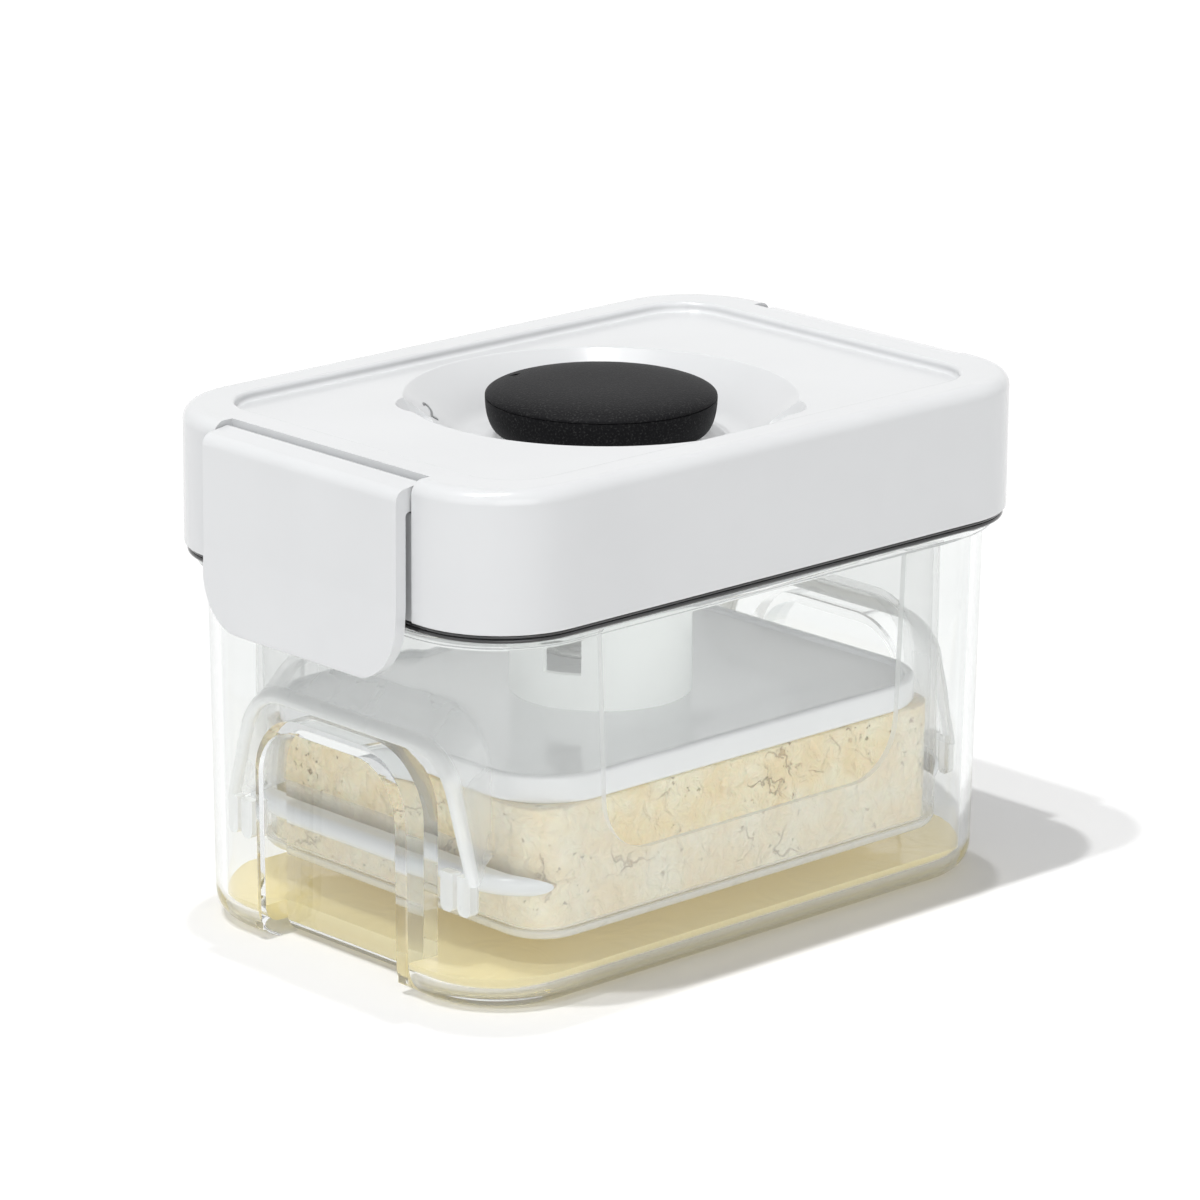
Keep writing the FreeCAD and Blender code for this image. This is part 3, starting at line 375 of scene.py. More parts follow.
@dataclass(frozen=True)
class Frosted:
    """Natural, faintly cloudy plastic: see-through face on, whiter at its edges.

    The milkiness of its parts is a share of 1, and where they begin is in metres.
    """

    name: str
    colour: Colour
    face: float = 0.10
    edge: float = 0.45
    hood: float = 0.13
    hood_from: float = 0.0626
    lip: float = 0.5
    lip_from: float = 0.0706
    foot: float = 0.5
    foot_top: float = 0.0150
    rim: float = 0.55
    wall_inside: float = 0.0458
    window_half: float = 0.0460
    cloud: float = 60.0
    grain: float = 300.0

    def material(self) -> bpy.types.Material:
        """Build the finish."""
        paint = Paint(
            self.name, Base_Color=(*self.colour, 1.0), Coat_Weight=0.5, Coat_Roughness=0.08,
        )
        cloud = paint.noise(self.cloud)
        paint.link("Roughness", 0.2 + cloud * 0.16)
        paint.bump(paint.noise(self.grain, 2.0), 0.00002, 0.4)
        facing = paint.signal("ShaderNodeLayerWeight", {"Blend": 0.35}, "Facing")
        x, y, z = paint.parts(paint.place)
        _, side, _ = paint.parts(paint.node("ShaderNodeNewGeometry").outputs["Normal"])
        outside = (x * x - self.hood_from**2).step(0.0, 0.0001) * self.hood
        in_wall = (y * y - self.wall_inside**2).step(0.0, 0.00004)
        in_window = 1 - (x * x - self.window_half**2).step(0.0, 0.0001)
        cut_face = (1 - (side * side).step(0.1, 0.6)) * in_wall * in_window * self.rim
        lip = (x * x - self.lip_from**2).step(0.0, 0.0001) * self.lip
        foot = (1 - z.step(self.foot_top, self.foot_top + 0.0012)) * self.foot
        milk = self.face + outside + lip + foot + cut_face
        milk = milk + facing * facing * self.edge + cloud * 0.05
        return paint.close((1 - milk) | paint.rays("Shadow", "Diffuse"))


@dataclass(frozen=True)
class Curd:
    """Wet pressed tofu: cream body, fine cracks and specks darkened with painted shade, glossy skin
    of water.
    """

    name: str = "tofu_curd"
    colour: Colour = (0.95, 0.78, 0.47)
    pale: Colour = (0.98, 0.89, 0.64)
    pit_shade_colour: Colour = (0.46, 0.30, 0.12)
    cloud: float = 120.0
    cracks: float = 95.0
    crack_depth: float = 0.55
    specks: float = 380.0
    speck_depth: float = 0.75
    water: float = 190.0
    relief: float = 0.0014

    def material(self) -> bpy.types.Material:
        """Build the finish."""
        paint = Paint(self.name, Subsurface_Weight=0.12, Subsurface_Scale=0.003,
                      Coat_Roughness=0.06)
        cloud = paint.noise(self.cloud, 5.0).step(0.3, 0.7)
        body = paint.blend(cloud, self.colour, self.pale)
        line = paint.noise(self.cracks, 8.0) - 0.5
        cracks = 1 - (line * line).step(0.000005, 0.00012)
        cracks = cracks * paint.noise(50.0, 2.0).step(0.55, 0.63)
        specks = 1 - paint.cells(self.specks, 0.004).step(0.06, 0.2)
        specks = specks * paint.noise(60.0).step(0.46, 0.58)
        # Painted shade: cracks and specks are darkened as if shade fell into them; the same mask
        # also sinks them in the bump.
        pit_relief_and_shade = cracks * self.crack_depth | specks * self.speck_depth
        paint.link("Base Color", paint.blend(pit_relief_and_shade, body, self.pit_shade_colour))
        wet = paint.noise(self.water, 2.0, 0.6).step(0.42, 0.6)
        paint.link("Coat Weight", wet * 0.6)
        paint.link("Roughness", 0.5 - wet * 0.3)
        paint.bump(paint.noise(260.0, 3.0, 0.5) - pit_relief_and_shade * 0.6, self.relief)
        return paint.close()


@dataclass(frozen=True)
class Whey:
    """The olive-yellow liquid that drains out; its glow is painted light."""

    name: str = "drained_liquid"
    colour: Colour = (0.90, 0.81, 0.50)
    clearness: float = 0.3
    # painted light: the liquid gives off light of its own colour, brightening it in the shade under
    # the basket
    glow: float = 0.10
    shadow_passed: float = 0.4
    ripple: float = 70.0

    def material(self) -> bpy.types.Material:
        """Build the finish."""
        paint = Paint(
            self.name, Base_Color=(*self.colour, 1.0), Transmission_Weight=self.clearness,
            IOR=1.34, Roughness=0.03, Emission_Color=(*self.colour, 1.0),
            Emission_Strength=self.glow,
        )
        paint.bump(paint.noise(self.ripple, 2.0, 1.5), 0.0006, 0.6)
        return paint.close(paint.rays("Shadow") * self.shadow_passed)


@dataclass(frozen=True)
class Metal:
    """Turned stainless steel with fine tool marks."""

    name: str
    colour: Colour = (0.62, 0.62, 0.61)
    marks: float = 1500.0

    def material(self) -> bpy.types.Material:
        """Build the finish."""
        paint = Paint(self.name, Metallic=1.0)
        marks = paint.noise(self.marks, 2.0)
        shade = tuple(0.8 * c for c in self.colour)
        paint.link("Base Color", paint.blend(marks, self.colour, shade))
        paint.link("Roughness", 0.2 + marks * 0.18)
        paint.bump(marks, 0.00001)
        return paint.close()


GLOSS_WHITE = Moulded("gloss_white", (0.745, 0.755, 0.765), (0.72, 0.73, 0.74), roughness=0.2,
                      spread=0.06, grain=1400.0, depth=0.000004, coat=0.35)
# Painted light: the plate glows faintly in its own colour.
PLATE_WHITE_PAINTED_GLOW = Moulded("plate_white_painted_glow", (0.90, 0.905, 0.91), (0.88, 0.885, 0.89), roughness=0.1,
                      spread=0.05, grain=1400.0, depth=0.000004, coat=0.6, glow=0.03)
# Painted light: the tubes glow in their own colour so they stay bright in the shade under the lid.
TUBE_WHITE_PAINTED_GLOW = Moulded("tube_white_painted_glow", (0.92, 0.94, 0.92), (0.90, 0.92, 0.90), roughness=0.3,
                     grain=1400.0, depth=0.000006, coat=0.2, glow=0.19)
LEDGE_WHITE = Moulded("ledge_white", (0.86, 0.87, 0.87), (0.82, 0.83, 0.83), roughness=0.25,
                      coat=0.3)
INNER_BLACK = Moulded("inner_black", (0.022, 0.022, 0.024), (0.03, 0.03, 0.032), roughness=0.38,
                      spread=0.1, grain=1800.0, depth=0.00002)
RUBBER = Moulded("seal_black", (0.018, 0.018, 0.019), (0.028, 0.028, 0.028), roughness=0.62,
                 spread=0.12, grain=1600.0, depth=0.00003)
SEAL_GLOSS = Moulded("seal_gloss", (0.02, 0.02, 0.021), (0.03, 0.03, 0.031), roughness=0.16,
                     spread=0.06, grain=1600.0, depth=0.000006, coat=0.5)
MARK_GREY = Moulded("mark_grey", (0.20, 0.205, 0.21), (0.25, 0.255, 0.26), roughness=0.5,
                    spread=0.1, grain=1600.0)
KNOB_SKIN = SoftTouch("knob_skin", (0.010, 0.010, 0.011), (0.042, 0.042, 0.042), 0.5)
STEEL = Metal("turned_steel")
CLEAR_TUB = Clear("clear_tub", (0.948, 0.958, 0.953))
FROST = Frosted("frosted_basket", (0.90, 0.91, 0.90))


# ---- outlines and solids, in mm
def rounded(points: list[tuple[float, float, float]], steps: int = 6) -> Profile:
    """Round the corners of an open line.

    Args:
        points: (across, up, corner radius) of each corner; a radius of 0 keeps it sharp.
        steps: faces in each corner.

    Returns:
        The line's points.
    """
    line: Profile = []
    for index, (u, v, radius) in enumerate(points):
        if not radius:
            line.append((u, v))
            continue
        here = Vector((u, v))
        before = (Vector(points[index - 1][:2]) - here).normalized()
        after = (Vector(points[(index + 1) % len(points)][:2]) - here).normalized()
        opening = before.angle(after)
        middle = (before + after).normalized()
        centre = here + middle * (radius / math.sin(opening / 2))
        start = here + before * (radius / math.tan(opening / 2)) - centre
        sweep = (math.pi - opening) * (1 if before.cross(after) < 0 else -1)
        for step in range(steps + 1):
            turned = start.copy()
            turned.rotate(Matrix.Rotation(sweep * step / steps, 2))
            line.append(tuple(centre + turned))
    return line


@dataclass(frozen=True)
class Outline:
    """A rectangle with round corners, centred on the upright axis."""

    half_x: float
    half_y: float
    corner: float

    def grown(self, by: float) -> Outline:
        """The parallel outline further out."""
        return Outline(self.half_x + by, self.half_y + by, self.corner + by)

    def reach(self, turn: float) -> float:
        """Distance from the axis to the outline in one direction."""
        dx, dy = abs(math.cos(turn)), abs(math.sin(turn))
        flat_x, flat_y = self.half_x - self.corner, self.half_y - self.corner
        if dy * self.half_x <= flat_y * dx:
            return self.half_x / dx
        if dx * self.half_y <= flat_x * dy:
            return self.half_y / dy
        along = dx * flat_x + dy * flat_y
        return along + math.sqrt(along**2 - flat_x**2 - flat_y**2 + self.corner**2)

    def ring(self, z: float, count: int) -> Ring:
        """Points round the outline at one height, at even angles."""
        turns = [2 * math.pi * step / count for step in range(count)]
        return [(self.reach(t) * math.cos(t), self.reach(t) * math.sin(t), z) for t in turns]

    def swept(self, profile: Profile, count: int = 240) -> list[Ring]:
        """Rings for a line of (distance outwards, height), with so many points in each."""
        return [self.grown(out).ring(z, count) for out, z in profile]


def circles(profile: Profile, count: int) -> list[Ring]:
    """Rings about the upright axis.

    Args:
        profile: a line of (radius, height); a radius of 0 gives a tip.
        count: points in each ring.

    Returns:
        The rings.
    """
    turns = [2 * math.pi * step / count for step in range(count)]
    return [
        [(radius * math.cos(t), radius * math.sin(t), z) for t in turns] if radius > 0
        else [(0.0, 0.0, z)]
        for radius, z in profile
    ]


def arc(centre: tuple[float, float], across: float, up: float, steps: int,
        start: float = 0.0, sweep: float = 90.0) -> Profile:
    """Points on an arc.

    Args:
        centre: its middle.
        across: how far it reaches sideways.
        up: how far it reaches upwards.
        steps: faces along it.
        start: degrees from sideways to its first point.
        sweep: degrees from there to its last.

    Returns:
        The arc's points.
    """
    turns = [math.radians(start + sweep * step / steps) for step in range(steps + 1)]
    return [(centre[0] + across * math.cos(t), centre[1] + up * math.sin(t)) for t in turns]


def span(side: int, near: float, far: float) -> list[float]:
    """The two ends of a stretch along X on one side, lowest first."""
    return sorted([side * near, side * far])


def linked(name: str, data: bpy.types.ID) -> bpy.types.Object:
    """A new object in the scene."""
    made = bpy.data.objects.new(name, data)
    bpy.context.scene.collection.objects.link(made)
    return made


def shaped(name: str, points: list[Point], faces: list[list[int]], crease: float = 32.0
           ) -> bpy.types.Object:
    """A mesh object from points in millimetres.

    Args:
        name: the object's name.
        points: its points.
        faces: point numbers of each face.
        crease: edges sharper than this many degrees stay sharp.

    Returns:
        The object, smooth-shaded and with its faces turned outwards.
    """
    mesh = bpy.data.meshes.new(name)
    mesh.from_pydata([[c * MM for c in point] for point in points], [], faces)
    work = bmesh.new()
    work.from_mesh(mesh)
    bmesh.ops.recalc_face_normals(work, faces=work.faces)
    work.to_mesh(mesh)
    work.free()
    made = linked(name, mesh)
    smooth(made, crease)
    return made


def smooth(piece: bpy.types.Object, crease: float = 32.0) -> None:
    """Smooth-shade a piece, keeping its sharp edges."""
    piece.data.shade_smooth()
    piece.data.set_sharp_from_angle(angle=math.radians(crease))


def lofted(name: str, rings: list[Ring], closed: bool = False, crease: float = 32.0
           ) -> bpy.types.Object:
    """A solid through rings.

    Args:
        name: the object's name.
        rings: rings of points; a ring of one point is a tip.
        closed: join the last ring to the first; otherwise both ends get a face.
        crease: edges sharper than this many degrees stay sharp.

    Returns:
        The solid.
    """
    points = [point for ring in rings for point in ring]
    starts = [sum(len(ring) for ring in rings[:index]) for index in range(len(rings))]
    faces = []
    pairs = [(low, low + 1) for low in range(len(rings) - 1)] + [(len(rings) - 1, 0)] * closed
    for low, high in pairs:
        a, b = starts[low], starts[high]
        count = max(len(rings[low]), len(rings[high]))
        for step in range(count):
            after = (step + 1) % count
            if len(rings[low]) == 1:
                faces.append([a, b + after, b + step])
            elif len(rings[high]) == 1:
                faces.append([a + step, a + after, b])
            else:
                faces.append([a + step, a + after, b + after, b + step])
    if not closed:
        for start, ring in ((starts[0], rings[0]), (starts[-1], rings[-1])):
            if len(ring) > 1:
                faces.append([start + step for step in range(len(ring))])
    return shaped(name, points, faces, crease)


def prism(name: str, outline: Profile, low: float, high: float, axis: str) -> bpy.types.Object:
    """A closed outline pushed along an axis between two places.

    Args:
        name: the object's name.
        outline: its corners, as (y, z) for axis "x", (x, z) for axis "y", (x, y) for axis "z".
        low: where it starts.
        high: where it ends.
        axis: "x", "y" or "z".

    Returns:
        The solid.
    """
    placed = {
        "x": lambda u, v, along: (along, u, v),
        "y": lambda u, v, along: (u, along, v),
        "z": lambda u, v, along: (u, v, along),
    }[axis]
    return lofted(name, [[placed(u, v, along) for u, v in outline] for along in (low, high)])


def arch(half: float, low: float, top: float, corner: float) -> Profile:
    """Outline of a door with two round upper corners."""
    return rounded([(-half, low, 0), (half, low, 0), (half, top, corner), (-half, top, corner)], 10)


def result(piece: bpy.types.Object) -> bpy.types.Mesh:
    """A new mesh of what a text or a piece with modifiers comes to."""
    return bpy.data.meshes.new_from_object(
        piece.evaluated_get(bpy.context.evaluated_depsgraph_get())
    )


def settle(piece: bpy.types.Object) -> None:
    """Make the result of the modifiers the piece's own mesh."""
    mesh = result(piece)
    piece.modifiers.clear()
    piece.data = mesh


def combine(piece: bpy.types.Object, *others: bpy.types.Object, cut: Cut = Cut.AWAY) -> None:
    """Cut other solids out of a piece, or join them to it, and remove them.

    Args:
        piece: the piece that stays.
        others: the solids that are used up.
        cut: what is done with them.
    """
    for other in others:
        modifier = piece.modifiers.new("combine", "BOOLEAN")
        modifier.solver = "EXACT"
        modifier.operation = cut.value
        modifier.object = other
    bpy.context.view_layer.update()
    settle(piece)
    for other in others:
        bpy.data.objects.remove(other)
    smooth(piece)


def soften(piece: bpy.types.Object, width: float, angle: float = 40.0, segments: int = 2) -> None:
    """Round a piece's sharp edges and even out its shading.

    Args:
        piece: the piece.
        width: how far the rounding reaches from an edge.
        angle: edges sharper than this many degrees are rounded.
        segments: faces across each rounding.
    """
    bevel = piece.modifiers.new("edges", "BEVEL")
    bevel.width = width * MM
    bevel.segments = segments
    bevel.limit_method = "ANGLE"
    bevel.angle_limit = math.radians(angle)
    even = piece.modifiers.new("even", "WEIGHTED_NORMAL")
    even.weight = 100
    even.keep_sharp = True
    bpy.context.view_layer.update()
    settle(piece)


def dress(piece: bpy.types.Object, finish: Finish, body: Body, *nodes: str,
          slot: Slot | None = None) -> None:
    """Paint a piece, hang it on its body and hide the nodes it replaces.

    Args:
        piece: the finished mesh.
        finish: the finish it gets.
        body: the body it rides on.
        nodes: the nodes it replaces.
        slot: the material slot it belongs to; not used.
    """
    piece.data.materials.clear()
    piece.data.materials.append(paint_of(finish))
    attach(piece, body.value)
    if nodes:
        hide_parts(*nodes)
    LOG.info("%s: %d faces on %s", piece.name, len(piece.data.polygons), body.value)


def paint_of(finish: Finish) -> bpy.types.Material:
    """The material of a finish, made once."""
    return bpy.data.materials.get(finish.name) or finish.material()


# ---- patterns of repeated shapes
class Pattern(Graph):
    """A geometry tree that ends in Realize Instances and Set Material."""

    def __init__(self, name: str, **values: float | Point) -> None:
        """Start a tree with an input for each named value."""
        super().__init__(bpy.data.node_groups.new(name, "GeometryNodeTree"))
        interface = self.tree.interface
        interface.new_socket("Geometry", in_out="OUTPUT", socket_type="NodeSocketGeometry")
        self.values = {}
        for key, value in values.items():
            kind = "NodeSocketVector" if isinstance(value, tuple) else "NodeSocketFloat"
            socket = interface.new_socket(key, in_out="INPUT", socket_type=kind)
            self.values[socket.identifier] = value
        self.given = self.node("NodeGroupInput").outputs

    def made(self, name: str, geometry: bpy.types.NodeSocket, finish: Finish) -> bpy.types.Object:
        """Close the tree, run it and keep what it makes.

        Args:
            name: the object's name.
            geometry: what the tree makes, before it is moved by its Base input.
            finish: the finish on it.

        Returns:
            A plain mesh object.
        """
        placed = self.node("GeometryNodeTransform", {
            "Geometry": geometry, "Translation": self.given["Base"],
        })
        real = self.node("GeometryNodeRealizeInstances", {0: placed.outputs[0]})
        painted = self.node("GeometryNodeSetMaterial", {
            "Geometry": real.outputs[0], "Material": paint_of(finish),
        })
        self.node("NodeGroupOutput", {0: painted.outputs[0]})
        piece = linked(name, bpy.data.meshes.new(name))
        modifier = piece.modifiers.new("pattern", "NODES")
        modifier.node_group = self.tree
        for key, value in self.values.items():
            modifier[key] = value
        bpy.context.view_layer.update()
        settle(piece)
        piece.data.name = name
        return piece


def drain_rods(base: float, reach: float, radius: float, pitch: float, columns: int, rows: int
               ) -> bpy.types.Object:
    """A block of upright rods, one for each drain hole.

    Args:
        base: height of the rods' middles.
        reach: their length.
        radius: their radius.
        pitch: distance between neighbours.
        columns: how many along X.
        rows: how many along Y.

    Returns:
        The rods as one cutter.
    """
    tree = Pattern("drain_rods", Radius=radius * MM, Reach=reach * MM,
                   Long=(columns - 1) * pitch * MM, Wide=(rows - 1) * pitch * MM,
                   Base=(0.0, 0.0, base * MM))
    grid = tree.node("GeometryNodeMeshGrid", {
        "Size X": tree.given["Long"], "Size Y": tree.given["Wide"],
        "Vertices X": columns, "Vertices Y": rows,
    })
    rod = tree.node("GeometryNodeMeshCylinder", {
        "Vertices": 20, "Radius": tree.given["Radius"], "Depth": tree.given["Reach"],
    })
    spread = tree.node("GeometryNodeInstanceOnPoints", {
        "Points": grid.outputs[0], "Instance": rod.outputs[0],
    })
    return tree.made("drain_rods", spread.outputs[0], FROST)


def coil(name: str, radius: float, wire: float, low: float, high: float, turns: float,
         finish: Finish) -> bpy.types.Object:
    """A round-wire compression spring.

    Args:
        name: the object's name.
        radius: from the axis to the wire's middle.
        wire: the wire's radius.
        low: height of its lower end.
        high: height of its upper end.
        turns: how often it goes round.
        finish: the finish on it.

    Returns:
        The spring.
    """
    tree = Pattern("coil", Radius=radius * MM, Wire=wire * MM, Turns=turns,
                   Height=(high - low - 2 * wire) * MM, Base=(0.0, 0.0, (low + wire) * MM))
    spiral = tree.node("GeometryNodeCurveSpiral", {
        "Resolution": 40, "Rotations": tree.given["Turns"], "Start Radius": tree.given["Radius"],
        "End Radius": tree.given["Radius"], "Height": tree.given["Height"],
    })
    section = tree.node("GeometryNodeCurvePrimitiveCircle", {
        "Resolution": 14, "Radius": tree.given["Wire"],
    })
    swept = tree.node("GeometryNodeCurveToMesh", {
        "Curve": spiral.outputs[0], "Profile Curve": section.outputs[0], "Fill Caps": True,
    })
    made = tree.made(name, swept.outputs[0], finish)
    smooth(made, 50.0)
    return made


# ---- container
@dataclass
class Container:
    """Clear tub with a finger recess at the foot of each end, and the liquid in it."""

    base: Outline = Outline(78.5, 51.0, 21.5)
    draft: float = math.tan(math.radians(0.83))
    wall: float = 2.4
    floor: float = 3.0
    height: float = 82.0
    flange: float = 1.7
    flange_reach: float = 2.1
    grip_half: float = 22.0
    grip_top: float = 49.6
    grip_corner: float = 12.0
    grip_face: float = 71.3
    grip_foot_round: float = 5.0
    foot_round: float = 6.0
    floor_round: float = 4.0
    rim_round: float = 0.7
    inset: float = 14.0
    liquid_top: float = 7.2
    play: float = 0.1

    def shell(self) -> bpy.types.Object:
        """The tub's walls, floor and flange as one closed skin."""
        lean, under = self.draft, self.height - self.flange
        rim = self.height * lean + self.flange_reach
        profile = rounded([
            (-self.inset, 0.0, 0), (0.0, 0.0, self.foot_round), (under * lean, under, 1.0),
            (rim, under, self.rim_round), (rim, self.height, self.rim_round),
            (self.height * lean - self.wall, self.height, 0.6),
            (self.floor * lean - self.wall, self.floor, self.floor_round),
            (-self.inset, self.floor, 0),
        ])
        return lofted("clear_tub", self.base.swept(profile))

    def tub(self) -> None:
        """The tub with both finger recesses pushed in from outside."""
        tub = self.shell()
        for side in (-1, 1):
            outline = arch(self.grip_half + self.wall, self.floor - 0.6,
                           self.grip_top + self.wall, self.grip_corner + self.wall)
            reach = span(side, self.grip_face - self.wall, self.base.half_x - 0.4)
            combine(tub, prism("boss", outline, *reach, "x"), cut=Cut.JOIN)
        for side in (-1, 1):
            outline = arch(self.grip_half, -BEYOND, self.grip_top, self.grip_corner)
            reach = span(side, self.grip_face, self.base.half_x + 20)
            combine(tub, prism("recess", outline, *reach, "x"), self.foot_waste(side))
        soften(tub, 0.7, 50.0, 3)
        dress(tub, CLEAR_TUB, Body.CONTAINER, "container_tub", slot=Slot.CLEAR)

    def foot_waste(self, side: int) -> bpy.types.Object:
        """Cutter that rounds a recess's lower edge.

        Args:
            side: -1 or 1, the end the recess is in.

        Returns:
            The cutter.
        """
        face, size = self.grip_face, self.grip_foot_round
        corners = arc((face - size, size), size, -size, 12)
        corners += [(face - size, -BEYOND), (face + 20, -BEYOND), (face + 20, size)]
        outline = [(side * x, z) for x, z in corners]
        return prism("foot_waste", outline, -self.grip_half, self.grip_half, "y")

    def liquid(self) -> None:
        """The drained liquid round both bosses."""
        inset = -self.wall - self.play
        profile = rounded([
            (inset - 4.0, self.floor + 0.05, 0), (inset, self.floor + 0.05, 3.8),
            (inset + self.liquid_top * self.draft, self.liquid_top, 0),
        ])
        edge = profile[-1][0]
        profile += [(edge - step * 2.4, self.liquid_top) for step in range(1, 8)]
        pool = lofted("drained_liquid", self.base.swept(profile))
        gap = arch(self.grip_half + self.wall + self.play, -BEYOND, self.grip_top, 5.0)
        for side in (-1, 1):
            reach = span(side, self.grip_face - self.wall - self.play, 100.0)
            combine(pool, prism("boss_gap", gap, *reach, "x"))
        dress(pool, Whey(), Body.CONTAINER)

    def build(self) -> None:
        """Make the tub and what has drained into it."""
        self.tub()
        self.liquid()


# ---- basket
@dataclass
class Basket:
    """Drain basket with windows, end hoods, ledge and drain holes, and the tofu in it."""

    outer: Outline = Outline(62.3, 47.7, 10.4)
    base: float = 12.9
    top: float = 79.0
    wall: float = 1.4
    floor: float = 1.8
    foot_round: float = 3.0
    floor_round: float = 2.0
    rim_round: float = 0.6
    sill: float = 28.8
    sill_round: float = 13.0
    window_half: float = 43.2
    window_flare: float = 2.4
    arch_half: float = 33.0
    arch_sill: float = 30.5
    arch_top: float = 60.5
    hood_tip: float = 73.2
    hood_top: float = 52.3
    hood_shoulder: float = 28.4
    hood_foot_half: float = 37.5
    hood_foot: float = 27.0
    hood_wall: float = 1.6
    hood_bead: float = 1.2
    bead_from: float = 0.5
    bead_run: float = 0.35
    lip_from: float = 0.86
    lip_run: float = 0.14
    hood_places: tuple[float, ...] = (0.0, 0.1, 0.2, 0.3, 0.4, 0.5, 0.6, 0.7, 0.76, 0.82, 0.88,
                                      0.92, 0.95, 0.975, 0.99, 0.998)
    tab_width: float = 9.0
    tab_finger: float = 3.8
    tab_drop: float = 7.0
    tab_thick: float = 2.6
    hole_radius: float = 2.0
    hole_pitch: float = 12.0
    ledge_outline: Outline = Outline(67.3, 47.3, 15.6)
    ledge_low: float = 23.0
    ledge_high: float = 27.4
    tofu_top: float = 41.6
    tofu_sunk: float = 0.4
    pit_cells: float = 0.115
    pit_depth: float = 6.0
    small_pit_cells: float = 0.45
    small_pit_depth: float = 1.2

    def shell(self) -> bpy.types.Object:
        """Walls and floor, open at the top."""
        inside, middle = -self.wall, -self.outer.corner
        profile = rounded([
            (middle, self.base, 0), (0.0, self.base, self.foot_round),
            (0.0, self.top, self.rim_round), (inside, self.top, self.rim_round),
            (inside, self.base + self.floor, self.floor_round),
            (middle, self.base + self.floor, 0),
        ])
        return lofted("drain_basket", self.outer.swept(profile))

    def windows(self) -> list[bpy.types.Object]:
        """Cutters for the U-shaped side openings and the end arches."""
        flare = self.window_half + self.window_flare
        sides = rounded([
            (-self.window_half, self.sill, self.sill_round),
            (self.window_half, self.sill, self.sill_round),
            (flare, self.top + BEYOND, 0), (-flare, self.top + BEYOND, 0),
        ], 10)
        ends = arch(self.arch_half, self.arch_sill, self.arch_top, 14.0)
        return [prism("side_window", sides, -60, 60, "y"), prism("end_window", ends, -80, 80, "x")]

    def hood_line(self, along: float, out: float) -> Profile:
        """The hood seen along X.

        Args:
            along: share of the way out to its lip.
            out: distance off its inside.

        Returns:
            An open line from foot to foot.
        """
        ease = along * along * (3 - 2 * along)
        half = self.arch_half + (self.hood_foot_half - self.arch_half) * ease + out
        shoulder = self.arch_half + (self.hood_shoulder - self.arch_half) * ease + out
        top = self.arch_top + (self.hood_top - self.arch_top) * ease + out
        foot = self.arch_sill + (self.hood_foot - self.arch_sill) * ease
        return rounded([
            (-half, foot, 0), (-shoulder, top, 11.0 + out), (shoulder, top, 11.0 + out),
            (half, foot, 0),
        ], 14)

    def hood(self, side: int) -> bpy.types.Object:
        """One curved awning that hangs over a boss, with a round bead along its lip.

        Args:
            side: -1 or 1, the end it is on.

        Returns:
            The solid.
        """
        near = self.outer.half_x - self.wall / 2
        rings = []
        for along in self.hood_places:
            share = min(1.0, (along - self.bead_from) / self.bead_run)
            swell = self.hood_bead * max(0.0, math.sin(math.pi / 2 * share))
            turn = max(0.0, (along - self.lip_from) / self.lip_run)
            half = (self.hood_wall + swell) / 2
            shrink = half * (1 - math.sqrt(1 - turn * turn))
            line = self.hood_line(along, 2 * half - shrink) + self.hood_line(along, shrink)[::-1]
            x = side * (near + (self.hood_tip - near) * along)
            rings.append([(x, y, z) for y, z in line])
        return lofted("hood", rings)

    def tabs(self, side: int) -> list[bpy.types.Object]:
        """Two short fingers under each foot of a hood.

        Args:
            side: -1 or 1, the end the hood is on.

        Returns:
            The four fingers.
        """
        low, high = self.hood_foot - self.tab_drop, self.hood_foot + self.hood_wall
        reach = span(side, self.hood_tip - self.tab_thick, self.hood_tip - 0.2)
        edge = self.hood_foot_half + self.hood_wall
        fingers = []
        for way in (-1, 1):
            for inner in (edge - self.tab_width, edge - self.tab_finger):
                outline = rounded([
                    (inner, high, 0), (inner, low, 1.5), (inner + self.tab_finger, low, 1.5),
                    (inner + self.tab_finger, high, 0),
                ])
                fingers.append(prism("finger", [(way * y, z) for y, z in outline], *reach, "x"))
        return fingers

    def basket(self) -> None:
        """Basket with its hoods, ledge and drain holes."""
        basket = self.shell()
        combine(basket, *self.windows())
        for side in (-1, 1):
            combine(basket, self.hood(side), *self.tabs(side), cut=Cut.JOIN)
        combine(basket, drain_rods(self.base + 1.0, 8.0, self.hole_radius, self.hole_pitch, 9, 7))
        soften(basket, 0.35, 50.0, 2)
        dress(basket, FROST, Body.BASKET, "basket", slot=Slot.FROSTED)

    def ledge(self) -> None:
        """The white rounded ledge round the basket's foot."""
        low, high = self.ledge_low, self.ledge_high
        profile = rounded([(-6.2, low, 0), (0.0, low, 2.0), (0.0, high, 2.0), (-6.2, high, 0)])
        ledge = lofted("basket_ledge", self.ledge_outline.swept(profile))
        hollow = self.outer.swept([(0.0, low - BEYOND), (0.0, high + BEYOND)])
        combine(ledge, lofted("core", hollow))
        dress(ledge, LEDGE_WHITE, Body.BASKET, slot=Slot.FROSTED)

